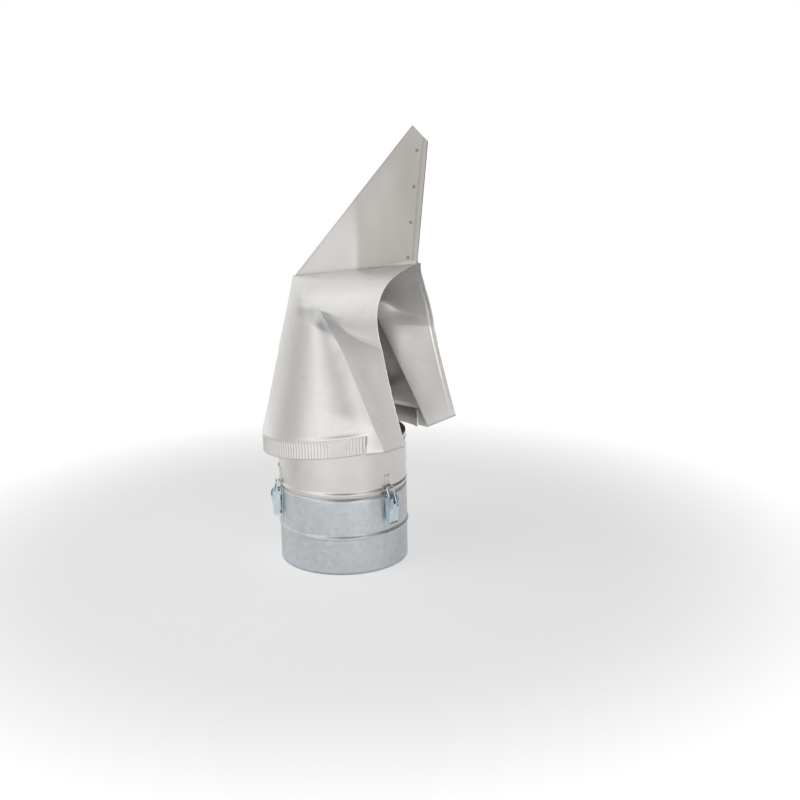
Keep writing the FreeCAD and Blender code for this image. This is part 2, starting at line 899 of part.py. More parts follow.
def latch_pin():
    reach = lever_half_width + 0.2
    pin = along_y(pin_radius, -reach, reach, *pivot)
    head = along_y(pin_radius + 1.0, reach, reach + 1.0, *pivot)
    return pin.fuse([head, mirrored(head)]).removeSplitter()


def lever_edge():
    """Outer edge of the lever beside its pivot, from the top of its back to the finger tip."""
    tip = -lever_length
    return [(11.5, -7.0), (12.2, -14.0), (7.0, tip + 3.0), (8.4, tip - 1.0)]


def from_pivot(points):
    return [(pivot[0] + x, pivot[1] + z) for x, z in points]


def lever_side():
    """Outline of the lever's side wall, from the pivot, over the knuckle, to the finger tip."""
    tip = -lever_length
    top = [(-3.6, 1.6), (0.0, 4.2), (4.0, 3.0)]
    back = [(0.5, tip - 1.0), (-1.6, tip + 6.0), (-2.3, -12.0), (-4.0, -4.0)]
    return from_pivot(top + lever_edge() + back)


def edge_reach(depth):
    """Where the lever's outer edge lies at a depth under the pivot."""
    points = lever_edge()
    for (x0, z0), (x1, z1) in zip(points, points[1:]):
        if z0 >= -depth >= z1:
            return x0 + (x1 - x0) * (-depth - z0) / (z1 - z0)
    raise ValueError(depth)


def lever_web(start, end, half):
    """Piece of the lever's back, from one depth under the pivot to another."""
    bends = [(x, z) for x, z in lever_edge() if -start > z > -end]
    outer = [(edge_reach(start), -start)] + bends + [(edge_reach(end), -end)]
    inner = [(x - plate_wall, z) for x, z in reversed(outer)]
    return extruded(from_pivot(outer + inner), -half, half)


def latch_lever():
    """Two side walls joined by the back, with a narrow tongue between the loop's arms."""
    inner = lever_half_width - plate_wall
    wall = extruded(lever_side(), inner, lever_half_width)
    wall = wall.cut(along_y(pin_radius + running_gap, inner - 1, lever_half_width + 1, *pivot))
    wall = wall.cut(along_y(wire_radius + running_gap, inner - 1, lever_half_width + 1, *knuckle))
    back = lever_web(lever_back_start, lever_length + 1.0, lever_half_width)
    tongue = lever_web(lever_tongue_start, lever_back_start + 1.0, arm_offset - wire_radius - 4 * running_gap)
    return back.fuse([wall, mirrored(wall), tongue]).removeSplitter()


def latch_loop():
    """Bent wire: two arms, a bar over the hook and two stubs in the lever's walls."""
    stub = lever_half_width + 0.6
    q = Vector(knuckle[0], arm_offset, knuckle[1])
    b = Vector(hook_bar[0], arm_offset, hook_bar[1])
    arm = Part.makeCylinder(wire_radius, b.sub(q).Length, q, b.sub(q))
    balls = [Part.makeSphere(wire_radius, q), Part.makeSphere(wire_radius, b)]
    half = along_y(wire_radius, arm_offset, stub, *knuckle).fuse([arm] + balls)
    bar = along_y(wire_radius, -arm_offset, arm_offset, *hook_bar)
    return bar.fuse([half, mirrored(half)]).removeSplitter()


def latch_catch():
    """Strip riveted above the joint, its lower end bent out and up into a hook under the loop's bar."""
    face = collar_radius + touch_gap
    bend = catch_top - catch_strip_length
    strip = curved_plate(face, plate_wall, catch_width / 2 + 2, bend - 1, catch_top)
    shelf = bar_z - wire_radius - hook_gap
    x = hook_bar[0]
    points = [(face + 0.2, bend + 1), (face + plate_wall, bend + 1), (face + plate_wall, bend), (x - 2.1, shelf)]
    points += [(x + 2.0, shelf), (x + 4.6, shelf + hook_lip_rise), (x + 5.2, shelf + hook_lip_rise - 0.9), (x + 2.3, shelf - plate_wall)]
    points += [(x - 3.0, shelf - plate_wall), (face + 0.2, bend - 1.2)]
    hook = extruded(points, -catch_width / 2, catch_width / 2)
    return with_rivet_holes(strip.fuse(hook), catch_rivet_heights, collar_radius)


def latch_rivets():
    """Two rivets through each base plate and two through each catch, all three latches together."""
    rivets = []
    for z in plate_rivet_heights:
        place = Vector(plate_face + plate_wall + touch_gap, 0, z)
        rivets.append(rivet_facing(plate_wall + ring_wall + 2 * touch_gap, place, Vector(1, 0, 0)))
    for z in catch_rivet_heights:
        place = Vector(collar_radius + touch_gap + plate_wall + touch_gap, 0, z)
        rivets.append(rivet_facing(plate_wall + collar_wall + 2 * touch_gap, place, Vector(1, 0, 0)))
    return [placed(r, angle) for angle in latch_angles for r in rivets]


def with_latch_holes(shape, heights, reach):
    for angle in latch_angles:
        for z in heights:
            shape = shape.cut(wall_hole(rivet_radius, reach, z, angle))
    return shape


def main():
    save("hood_shell", hood_shell())
    save("vane", vane())
    save("vane_rivets", Part.Compound(vane_rivets()))
    save("base_ring", with_latch_holes(base_ring(), plate_rivet_heights, ring_radius))
    save("collar", with_latch_holes(with_bar_holes(collar()), catch_rivet_heights, collar_radius))
    save("lower_crossbar", placed(cross_bar(lower_bar_z, False), bar_angle))
    save("upper_crossbar", placed(cross_bar(upper_bar_z, True), bar_angle))
    save("spindle", spindle())
    nuts, washers = spindle_hardware()
    save("spindle_nuts", Part.Compound(nuts))
    save("spindle_washers", Part.Compound(washers))
    save("pivot_strap", hood_strap(pivot_strap_z, bush_radius + touch_gap, cone_inside(pivot_strap_z)))
    save("guide_strap", hood_strap(guide_strap_z, bush_radius + touch_gap, cone_inside(guide_strap_z)))
    save("pivot_cup", pivot_cup())
    save("guide_bush", guide_bush())
    save("bearing_ball", Part.makeSphere(ball_radius, Vector(0, 0, ball_middle)))
    save("crossbar_rivets", Part.Compound(bar_rivets(lower_bar_z, False) + bar_rivets(upper_bar_z, True)))
    save("latch_rivets", Part.Compound(latch_rivets()))
    pieces = {"latch_plate": latch_plate(), "latch_pin": latch_pin(), "latch_lever": latch_lever(),
              "latch_loop": latch_loop(), "latch_catch": latch_catch()}
    for number, angle in enumerate(latch_angles, 1):
        for name, shape in pieces.items():
            save(name + "_" + str(number), placed(shape, angle))


if __name__ == "__main__":
    main()
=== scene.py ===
import json
import math
import bmesh
import bpy
from mathutils import Matrix, Vector, noise

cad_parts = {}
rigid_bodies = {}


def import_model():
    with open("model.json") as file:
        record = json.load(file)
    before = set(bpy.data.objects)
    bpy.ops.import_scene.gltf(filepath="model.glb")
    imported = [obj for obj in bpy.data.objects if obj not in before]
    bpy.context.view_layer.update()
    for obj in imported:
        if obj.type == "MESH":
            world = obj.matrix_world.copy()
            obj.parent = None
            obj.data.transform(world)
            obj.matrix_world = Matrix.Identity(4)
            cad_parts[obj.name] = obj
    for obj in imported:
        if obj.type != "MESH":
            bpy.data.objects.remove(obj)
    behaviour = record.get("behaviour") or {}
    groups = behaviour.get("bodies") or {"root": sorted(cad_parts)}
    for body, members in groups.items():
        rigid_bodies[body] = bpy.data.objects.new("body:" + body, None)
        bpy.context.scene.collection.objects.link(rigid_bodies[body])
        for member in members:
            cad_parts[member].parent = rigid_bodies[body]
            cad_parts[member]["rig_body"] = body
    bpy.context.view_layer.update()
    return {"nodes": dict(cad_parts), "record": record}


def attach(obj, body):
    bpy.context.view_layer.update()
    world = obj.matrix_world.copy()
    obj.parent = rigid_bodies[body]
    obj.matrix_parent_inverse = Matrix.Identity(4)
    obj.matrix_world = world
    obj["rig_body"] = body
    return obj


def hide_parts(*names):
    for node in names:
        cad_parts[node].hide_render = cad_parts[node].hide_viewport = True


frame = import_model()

mm = 0.001
scene = bpy.context.scene


# ---- small helpers

def smoothMin(a, b, r):
    h = max(r - abs(a - b), 0.0)
    return min(a, b) - h * h / (4 * r) if r > 0 else min(a, b)


def smoothMax(a, b, r):
    return -smoothMin(-a, -b, r)


def smoothStep(a, b, x):
    t = min(max((x - a) / (b - a), 0.0), 1.0)
    return t * t * (3 - 2 * t)


def mix(a, b, t):
    return a + (b - a) * t


def meshObject(name, verts, faces, sharpAngle=35):
    mesh = bpy.data.meshes.new(name)
    mesh.from_pydata([Vector(v) * mm for v in verts], [], faces)
    obj = bpy.data.objects.new(name, mesh)
    scene.collection.objects.link(obj)
    softenShading(obj, sharpAngle)
    return obj


def softenShading(obj, sharpAngle=35):
    mesh = obj.data
    mesh.shade_smooth()
    if sharpAngle:
        mesh.set_sharp_from_angle(angle=math.radians(sharpAngle))


def gridFaces(columns, rows, closed=False):
    faces = []
    span = columns if closed else columns - 1
    for c in range(span):
        for r in range(rows - 1):
            n = (c + 1) % columns
            faces.append((c * rows + r, n * rows + r, n * rows + r + 1, c * rows + r + 1))
    return faces


def tidyMesh(obj, distance=1e-5, recalculate=True):
    bm = bmesh.new()
    bm.from_mesh(obj.data)
    bmesh.ops.remove_doubles(bm, verts=bm.verts, dist=distance)
    bmesh.ops.dissolve_degenerate(bm, edges=bm.edges, dist=1e-7)
    if recalculate:
        bmesh.ops.recalc_face_normals(bm, faces=bm.faces)
    bm.to_mesh(obj.data)
    bm.free()


def faceOutward(bm):
    # an open shell: its faces are turned together, so that the front one looks away from the axis
    bmesh.ops.recalc_face_normals(bm, faces=bm.faces)
    bm.normal_update()
    front = min(bm.faces, key=lambda f: f.calc_center_median().x)
    if front.normal.x > 0:
        bmesh.ops.reverse_faces(bm, faces=bm.faces)
        bm.normal_update()


def addModifier(obj, kind, **settings):
    modifier = obj.modifiers.new(kind.title(), kind)
    for key, value in settings.items():
        setattr(modifier, key, value)
    return modifier


def dress(obj, material, body, slotName, *replaced):
    obj.data.materials.clear()
    obj.data.materials.append(material)
    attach(obj, body)
    if replaced:
        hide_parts(*replaced)
    return obj


# ---- shader node groups

def newGroup(name, inputs, outputs, kind="ShaderNodeTree"):
    group = bpy.data.node_groups.new(name, kind)
    for label, socketType, value in inputs:
        socket = group.interface.new_socket(label, in_out="INPUT", socket_type=socketType)
        if value is not None:
            socket.default_value = value
    for label, socketType in outputs:
        group.interface.new_socket(label, in_out="OUTPUT", socket_type=socketType)
    start = group.nodes.new("NodeGroupInput")
    end = group.nodes.new("NodeGroupOutput")
    return group, start, end


def addNode(tree, kind, settings=None, **inputs):
    node = tree.nodes.new(kind)
    for key, value in (settings or {}).items():
        setattr(node, key, value)
    for key, value in inputs.items():
        byNumber = key[0] == "i" and key[1:].isdigit()
        socket = node.inputs[int(key[1:]) if byNumber else key.replace("_", " ")]
        if isinstance(value, bpy.types.NodeSocket):
            tree.links.new(value, socket)
        else:
            socket.default_value = value
    return node


def mathNode(tree, operation, a, b=0.5, c=0.5, clamp=False):
    node = addNode(tree, "ShaderNodeMath", {"operation": operation, "use_clamp": clamp}, i0=a, i1=b, i2=c)
    return node.outputs[0]


def rangeNode(tree, value, a, b, c=0.0, d=1.0, smooth=False):
    node = addNode(tree, "ShaderNodeMapRange", {"interpolation_type": "SMOOTHSTEP" if smooth else "LINEAR"},
                   Value=value, From_Min=a, From_Max=b, To_Min=c, To_Max=d)
    return node.outputs[0]


def makeCloudGroup():
    group, start, end = newGroup("sheetClouds", [
        ("Size", "NodeSocketFloat", 9.0), ("Stretch", "NodeSocketFloat", 0.5), ("Contrast", "NodeSocketFloat", 1.0),
        ("Shift", "NodeSocketFloat", 0.0)], [("Clouds", "NodeSocketFloat"), ("Smudges", "NodeSocketFloat")])
    place = addNode(group, "ShaderNodeTexCoord").outputs["Object"]
    moved = addNode(group, "ShaderNodeVectorMath", {"operation": "ADD"}, i0=place)
    group.links.new(start.outputs["Shift"], moved.inputs[1])
    scale = addNode(group, "ShaderNodeCombineXYZ", X=1.0, Y=1.0)
    group.links.new(start.outputs["Stretch"], scale.inputs["Z"])
    squeezed = addNode(group, "ShaderNodeVectorMath", {"operation": "MULTIPLY"}, i0=moved.outputs[0],
                       i1=scale.outputs[0])
    broad = addNode(group, "ShaderNodeTexNoise", Vector=squeezed.outputs[0], Scale=start.outputs["Size"], Detail=3.0,
                    Roughness=0.5)
    small = addNode(group, "ShaderNodeTexNoise", Vector=moved.outputs[0], Scale=46.0, Detail=5.0, Roughness=0.6)
    spread = mathNode(group, "SUBTRACT", broad.outputs[0], 0.5)
    spread = mathNode(group, "MULTIPLY", spread, start.outputs["Contrast"])
    spread = mathNode(group, "ADD", spread, 0.5, clamp=True)
    group.links.new(spread, end.inputs["Clouds"])
    group.links.new(rangeNode(group, small.outputs[0], 0.52, 0.78, smooth=True), end.inputs["Smudges"])
    return group


def makeGrainGroup():
    group, start, end = newGroup("rollingGrain", [
        ("Scale", "NodeSocketFloat", 700.0), ("Along X", "NodeSocketFloat", 1.0), ("Along Y", "NodeSocketFloat", 1.0),
        ("Along Z", "NodeSocketFloat", 0.04)], [("Grain", "NodeSocketFloat"), ("Speckle", "NodeSocketFloat")])
    place = addNode(group, "ShaderNodeTexCoord").outputs["Object"]
    squeeze = addNode(group, "ShaderNodeCombineXYZ", X=start.outputs["Along X"], Y=start.outputs["Along Y"],
                      Z=start.outputs["Along Z"])
    lined = addNode(group, "ShaderNodeVectorMath", {"operation": "MULTIPLY"}, i0=place, i1=squeeze.outputs[0])
    streak = addNode(group, "ShaderNodeTexNoise", Vector=lined.outputs[0], Scale=start.outputs["Scale"], Detail=2.0)
    speck = addNode(group, "ShaderNodeTexNoise", Vector=place, Scale=start.outputs["Scale"], Detail=1.0)
    group.links.new(streak.outputs[0], end.inputs["Grain"])
    group.links.new(speck.outputs[0], end.inputs["Speckle"])
    return group


def makeEdgeGroup():
    group, start, end = newGroup("edgeWearAndSheenMask", [
        ("Amount", "NodeSocketFloat", 1.0), ("Break Up", "NodeSocketFloat", 0.4)], [("Mask", "NodeSocketFloat")])
    # edges paler, partly bare worn metal and partly a painted highlight along the rear edge and the crease
    edge = addNode(group, "ShaderNodeAttribute", {"attribute_name": "edgeWearAndSheen"}).outputs["Fac"]
    place = addNode(group, "ShaderNodeTexCoord").outputs["Object"]
    breakNoise = addNode(group, "ShaderNodeTexNoise", Vector=place, Scale=130.0, Detail=3.0).outputs[0]
    breakNoise = rangeNode(group, breakNoise, 0.35, 0.6)
    broken = addNode(group, "ShaderNodeMix", Factor=start.outputs["Break Up"], A=1.0, B=breakNoise).outputs[0]
    out = mathNode(group, "MULTIPLY", mathNode(group, "MULTIPLY", edge, broken), start.outputs["Amount"], clamp=True)
    group.links.new(out, end.inputs["Mask"])
    return group


def makeSpangleGroup():
    group, start, end = newGroup("zincSpangle", [
        ("Crystal Size", "NodeSocketFloat", 150.0), ("Warp", "NodeSocketFloat", 0.004)],
        [("Crystals", "NodeSocketFloat")])
    place = addNode(group, "ShaderNodeTexCoord").outputs["Object"]
    wobble = addNode(group, "ShaderNodeTexNoise", Vector=place, Scale=220.0, Detail=2.0).outputs["Color"]
    bend = addNode(group, "ShaderNodeVectorMath", {"operation": "SCALE"}, i0=wobble)
    group.links.new(start.outputs["Warp"], bend.inputs["Scale"])
    moved = addNode(group, "ShaderNodeVectorMath", {"operation": "ADD"}, i0=place, i1=bend.outputs[0])
    cells = addNode(group, "ShaderNodeTexVoronoi", Vector=moved.outputs[0], Scale=start.outputs["Crystal Size"])
    tone = addNode(group, "ShaderNodeSeparateColor", Color=cells.outputs["Color"]).outputs[0]
    group.links.new(tone, end.inputs["Crystals"])
    return group


groups = {
    "clouds": makeCloudGroup(), "grain": makeGrainGroup(), "edge": makeEdgeGroup(), "spangle": makeSpangleGroup(),
}


def useGroup(tree, key, **inputs):
    node = tree.nodes.new("ShaderNodeGroup")
    node.node_tree = groups[key]
    for label, value in inputs.items():
        node.inputs[label.replace("_", " ")].default_value = value
    return node


def mixColors(tree, factor, a, b, blend="MIX"):
    node = tree.nodes.new("ShaderNodeMix")
    node.data_type = "RGBA"
    node.blend_type = blend
    sockets = {"Factor": node.inputs[0], "A": node.inputs[6], "B": node.inputs[7]}
    for key, value in (("Factor", factor), ("A", a), ("B", b)):
        if isinstance(value, bpy.types.NodeSocket):
            tree.links.new(value, sockets[key])
        else:
            sockets[key].default_value = value
    return node.outputs[2]


def rgba(r, g, b):
    return (r, g, b, 1.0)


def metalMaterial(name, look):
    material = bpy.data.materials.new(name)
    material.use_nodes = True
    tree = material.node_tree
    shader = tree.nodes["Principled BSDF"]
    shader.inputs["Metallic"].default_value = 1.0
    clouds = useGroup(tree, "clouds", Size=look["cloudSize"], Stretch=look["stretch"], Contrast=look["contrast"],
                      Shift=look["shift"])
    grain = useGroup(tree, "grain", Scale=look["grainScale"], Along_X=look["along"][0], Along_Y=look["along"][1],
                     Along_Z=look["along"][2])
    edge = useGroup(tree, "edge", Amount=look["edge"], Break_Up=look["breakUp"])
    color = mixColors(tree, clouds.outputs["Clouds"], rgba(*look["dark"]), rgba(*look["light"]))
    if look.get("spangle"):
        crystals = useGroup(tree, "spangle", Crystal_Size=look["spangle"][0]).outputs["Crystals"]
        share = rangeNode(tree, crystals, 0.0, 1.0, 1 - look["spangle"][1], 1.0)
        color = mixColors(tree, 1.0, color, share, "MULTIPLY")
    smudge = mathNode(tree, "MULTIPLY", clouds.outputs["Smudges"], look["smudge"])
    color = mixColors(tree, smudge, color, rgba(*look["stain"]))
    if look.get("paintedFoldShade"):
        # painted shade in the folds, only on the outside faces, where place and normal point the same way across
        shadePaint = addNode(tree, "ShaderNodeAttribute", {"attribute_name": "paintedFoldShade"}).outputs["Fac"]
        where = addNode(tree, "ShaderNodeTexCoord")
        across = addNode(tree, "ShaderNodeSeparateXYZ", Vector=where.outputs["Object"]).outputs[1]
        facing = addNode(tree, "ShaderNodeSeparateXYZ", Vector=where.outputs["Normal"]).outputs[1]
        outside = mathNode(tree, "GREATER_THAN", mathNode(tree, "MULTIPLY", across, facing), 0.0)
        shadePaint = mathNode(tree, "MULTIPLY", shadePaint, outside)
        color = mixColors(tree, shadePaint, color, rgba(*look["paintedFoldShade"]), "MULTIPLY")
    if look.get("paleFront"):
        # the part in front of the pinch is paler, up to some height
        paleFront = look["paleFront"]
        spot = addNode(tree, "ShaderNodeSeparateXYZ", Vector=addNode(tree, "ShaderNodeTexCoord").outputs["Object"])
        front = rangeNode(tree, spot.outputs[0], paleFront["frontX"], paleFront["frontX"] - paleFront["softX"], smooth=True)
        low = rangeNode(tree, spot.outputs[2], paleFront["topZ"], paleFront["topZ"] - paleFront["softZ"], smooth=True)
        paleShare = mathNode(tree, "MULTIPLY", mathNode(tree, "MULTIPLY", front, low), paleFront["amount"])
        color = mixColors(tree, paleShare, color, rgba(*paleFront["tone"]))
    # pale edges: partly bare worn metal, partly painted highlight
    color = mixColors(tree, edge.outputs["Mask"], color, rgba(*look["edgeTone"]))
    tree.links.new(color, shader.inputs["Base Color"])
    low, high = look["roughness"]
    rough = rangeNode(tree, clouds.outputs["Clouds"], 0.25, 0.75, high, low)
    rough = mathNode(tree, "ADD", rough, rangeNode(tree, grain.outputs["Grain"], 0.3, 0.7, *look["grainRough"]))
    rough = mathNode(tree, "ADD", rough, mathNode(tree, "MULTIPLY", smudge, look["smudgeRough"]), clamp=True)
    tree.links.new(rough, shader.inputs["Roughness"])
    height = addNode(tree, "ShaderNodeMix", Factor=look["speckle"], A=grain.outputs["Grain"],
                     B=grain.outputs["Speckle"]).outputs[0]
    bump = addNode(tree, "ShaderNodeBump", Strength=look["bump"], Distance=look["bumpDepth"], Height=height)
    tree.links.new(bump.outputs[0], shader.inputs["Normal"])
    return material


sheetLook = {
    "cloudSize": 7.0, "stretch": 0.45, "contrast": 1.5, "shift": 0.0,
    "grainScale": 900.0, "along": (1.0, 1.0, 0.05), "edge": 0.4, "bump": 0.08,
    "dark": (0.62, 0.605, 0.585), "light": (0.80, 0.785, 0.765), "stain": (0.48, 0.455, 0.43), "smudge": 0.25,
    "edgeTone": (0.93, 0.92, 0.90), "roughness": (0.33, 0.43), "breakUp": 0.35, "speckle": 0.45, "bumpDepth": 0.0004,
    "grainRough": (-0.04, 0.05), "smudgeRough": 0.12,
}
materials = {
    # the hood's colour is darkened by a painted shade in the facets above the round front
    "hood_sheet": metalMaterial("hoodStainless", dict(sheetLook, paintedFoldShade=(0.76, 0.77, 0.785))),
    "fin_sheet": metalMaterial("finStainless", dict(
        sheetLook, shift=3.1, contrast=2.2, dark=(0.42, 0.40, 0.375), light=(0.62, 0.60, 0.57),
        paleFront={"frontX": 0.056, "softX": 0.020, "topZ": 0.76, "softZ": 0.12, "amount": 0.75,
              "tone": (0.80, 0.78, 0.755)})),
    "collar_sheet": metalMaterial("collarStainless", dict(
        sheetLook, shift=5.7, dark=(0.61, 0.585, 0.565), light=(0.78, 0.755, 0.735), roughness=(0.32, 0.42))),
    "galvanised": metalMaterial("galvanisedRing", dict(
        sheetLook, shift=9.3, dark=(0.51, 0.54, 0.565), light=(0.69, 0.72, 0.745), spangle=(120.0, 0.10),
        roughness=(0.40, 0.48), stain=(0.45, 0.46, 0.47))),
    "latch_zinc": metalMaterial("paleBlueZinc", dict(
        sheetLook, shift=1.7, cloudSize=60.0, dark=(0.52, 0.62, 0.68), light=(0.76, 0.84, 0.89), smudge=0.4,
        stain=(0.34, 0.37, 0.38), roughness=(0.22, 0.34), edgeTone=(0.92, 0.95, 0.97))),
    "bar_steel": metalMaterial("millSteelBar", dict(
        sheetLook, shift=2.9, cloudSize=30.0, dark=(0.30, 0.30, 0.30), light=(0.50, 0.50, 0.50),
        along=(1.0, 0.05, 1.0), stain=(0.20, 0.18, 0.16), roughness=(0.38, 0.50))),
    "rivet_steel": metalMaterial("dullRivet", dict(
        sheetLook, shift=4.4, cloudSize=200.0, dark=(0.20, 0.19, 0.18), light=(0.36, 0.35, 0.34),
        roughness=(0.35, 0.5))),
    "bush_bronze": metalMaterial("sinteredBronze", dict(
        sheetLook, shift=6.2, cloudSize=120.0, dark=(0.42, 0.28, 0.13), light=(0.62, 0.45, 0.22),
        stain=(0.20, 0.14, 0.08), edgeTone=(0.80, 0.62, 0.36), roughness=(0.34, 0.5))),
}
print("materials ready:", len(materials))


# ---- the hood's folded sheet

plan = {
    "sheet": 0.8, "skirtRadius": 155.5, "skirtHeight": 232.6, "skirtSlope": 0.102,
    "bandHeight": 34.0, "seamZone": 310.0,
    "ribCount": 118, "ribDepth": 1.5, "seamAngle": 42.5, "bandLap": 3.0, "ribSlant": 0.9,
    "coneStart": 252.0, "coneTaper": 0.2346, "ridgeX": -94.0, "ridgeZ": 550.6, "ridgeSlope": 0.141,
    "noseStart": 430.0, "noseReach": 11.0, "nosePoint": 0.6,
    "roofRadius": 97.7, "roofRadiusSlope": 0.11,
    "creaseFootX": 141.5, "creaseFootZ": 247.0, "creaseLean": 0.4795, "creaseFootY": 95.5,
    "creaseInward": 0.0425, "creaseTopZ": 430.0, "creaseTopLean": 0.554, "creaseTopSpread": 0.06,
    "creaseEndX": 10.0, "cornerLift": 18.6, "foldTop": 504.5, "valleySlope": 0.5,
    # height and length of points along the fold between flap and arch
    "foldLine": [(515.0, -60.0), (504.5, 12.5), (501.5, 31.0), (491.7, 51.0), (480.4, 65.5), (470.4, 78.0),
                 (462.9, 93.4), (455.8, 115.0), (450.4, 134.2), (440.0, 175.0), (400.0, 340.0)],
    "hemWidth": 8.6, "hemRise": 0.2, "hemColumns": 11.0,
    "throatX": 138.0, "throatZ": 520.0, "throatRate": 0.0565, "throatPower": 1.249, "overhang": 30.5,
    "dentSize": 0.45, "dentSpacing": 75.0, "bendHeight": 9.0, "bandLean": -2.6,
    "dentFine": 0.4, "dentFineRate": 2.3, "bandInset": 3.4, "bandTuck": 0.8, "seamFlare": 2.4, "flareSpan": 22.0,
    # the flaps' rear edges lean in below the crease's top, and the arch eases out behind the fold
    "rearTuck": 5.5, "rearTuckSpan": 176.0, "archEase": 0.12,
    # the ledge where the round front turns in under the arch
    "ledgeFrom": -34.0, "ledgeTo": 60.0, "ledgeShift": 4.0, "ledgeTop": 480.5, "ledgeFall": 0.33,
    "ledgeCurve": 0.0055,
    # how fast the round front draws in above the ledge, and above the fold
    "humpFall": 0.13, "humpFrontFall": 0.25, "humpFallX": (12.0, -16.0), "humpRounding": 5.0,
    "humpTopRate": 0.9, "humpTopLead": 2.0, "humpDropShare": 0.3, "humpTopShare": 2.0, "humpEndSlope": 3.0,
    "creasePower": 7.5, "creasePowerFall": 5.3, "creasePowerZ": (270.0, 330.0), "creaseBend": 0.012,
    # roundings where walls, front and hump meet
    "foldFade": 25.0, "foldLeast": 0.08, "foldSoft": (2.4, 11.0), "foldSoftZ": (474.0, 452.0),
    "noseRounding": 24.0, "noseRoundingX": (-5.0, -75.0), "noseRoundingShare": 0.6, "humpMeet": 1.8,
    # where the painted shade on the facets above the round front starts and fades
    "paintedFoldShade": {"ledgeSoft": 4.0, "upperZ": (512.0, 503.0), "frontX": (-60.0, -22.0), "lowerZ": (405.0, 468.0),
              "past": 2.0, "before": 5.0},
}


def coneRadius(z):
    return plan["skirtRadius"] - plan["coneTaper"] * smoothMax(z - plan["coneStart"], 0.0, 16.0)


def noseShare(z):
    # the front grows into a slight prow towards the fin's foot
    return min(max((z - plan["noseStart"]) / (plan["ridgeZ"] - plan["noseStart"]), 0.0), 1.1) ** 2


def noseX(z):
    return -coneRadius(z) - plan["noseReach"] * noseShare(z)


def frontY(x, z, r):
    if x >= 0:
        return math.sqrt(max(r * r - x * x, 0.0))
    power = 2.0 - plan["nosePoint"] * noseShare(z)
    share = min(x / (noseX(z) + coneRadius(z) - r), 1.0)
    return r * max(1 - share ** power, 0.0) ** (1 / power)


def skirtHeight(x):
    return plan["skirtHeight"] + plan["skirtSlope"] * x


def ridgeHeight(x):
    return plan["ridgeZ"] + plan["ridgeSlope"] * (x - plan["ridgeX"])


def roofRadius(x):
    return plan["roofRadius"] + plan["roofRadiusSlope"] * x


def springHeight(x):
    return ridgeHeight(x) - roofRadius(x)


bandRows = 0.12       # share of the lower rows that the crimped band takes


def levelHeight(x, level):
    low = skirtHeight(x)
    if level <= bandRows:
        return low + plan["bandHeight"] * level / bandRows
    if level <= 1:
        top = low + plan["bandHeight"]
        return top + (springHeight(x) - top) * (level - bandRows) / (1 - bandRows)
    return springHeight(x) + roofRadius(x) * math.sin((level - 1) * math.pi / 2)


def creaseX(z):
    low = min(z, plan["creaseTopZ"])
    x = plan["creaseFootX"] - plan["creaseLean"] * (low - plan["creaseFootZ"])
    return x - plan["creaseTopLean"] * (z - low)


def creaseY(z):
    top = plan["creaseTopZ"]
    if z <= top:
        return plan["creaseFootY"] - plan["creaseInward"] * (z - plan["creaseFootZ"])
    return creaseY(top) + plan["creaseTopSpread"] * (z - top)


def rearX(z, level):
    x = plan["throatX"] + plan["throatRate"] * max(plan["throatZ"] - z, 0.0) ** plan["throatPower"]
    if level > 1:
        x += plan["overhang"] * math.sin((level - 1) * math.pi / 2) ** 7
    return x


def rearY(z):
    drop = max((plan["creaseTopZ"] - z) / plan["rearTuckSpan"], 0.0)
    return roofRadius(rearX(z, 0)) - plan["rearTuck"] * drop * drop


def foldAt(z):
    # the fold between flap and arch runs down from the crease's top to the rear edge
    line = plan["foldLine"]
    for (high, near), (low, far) in zip(line, line[1:]):
        if z > low:
            return mix(near, far, (high - z) / (high - low))
    return line[-1][1]


def flapY(x, z):
    start, end = creaseX(z), rearX(z, 0)
    if x < start:
        return creaseY(z) + plan["valleySlope"] * (start - x)
    endY = rearY(z)
    if foldAt(z) < end:
        end = max(foldAt(z), start + 1.0)
        endY = archY(end, z)
        if x > end:
            return archY(x, z) + plan["archEase"] * (x - end)
    return creaseY(z) + (endY - creaseY(z)) * (x - start) / (end - start)


def archY(x, z):
    r = roofRadius(x)
    rise = min(max((z - springHeight(x)) / r, 0.0), 1.0)
    return r * math.sqrt(max(1 - rise * rise, 0.0))


def ledgeZ(x):
    # where the round front starts to turn in under the arch
    along = max(min(x, plan["ledgeTo"]), plan["ledgeFrom"]) + plan["ledgeShift"]
    return plan["ledgeTop"] - plan["ledgeFall"] * along - plan["ledgeCurve"] * along * along


def humpY(x, z):
    rate = plan["humpFall"] + plan["humpFrontFall"] * smoothStep(*plan["humpFallX"], x)
    drop = rate * smoothMax(z - ledgeZ(x), 0.0, plan["humpRounding"])
    top = plan["humpTopRate"] * smoothMax(z - plan["foldTop"] + plan["humpTopLead"], 0.0, plan["humpRounding"])
    r = max(coneRadius(z) - drop - top, 1.0)
    y = frontY(x, z, r)
    if x <= 0:
        return y
    xc = max(creaseX(z), plan["creaseEndX"])
    yc = creaseY(z) - plan["humpDropShare"] * drop - plan["humpTopShare"] * top
    if x > xc:
        return yc - plan["humpEndSlope"] * (x - xc)
    miss = yc - math.sqrt(max(r * r - xc * xc, 0.0))
    power = plan["creasePower"] - plan["creasePowerFall"] * smoothStep(*plan["creasePowerZ"], z)
    return y + miss * (x / xc) ** power


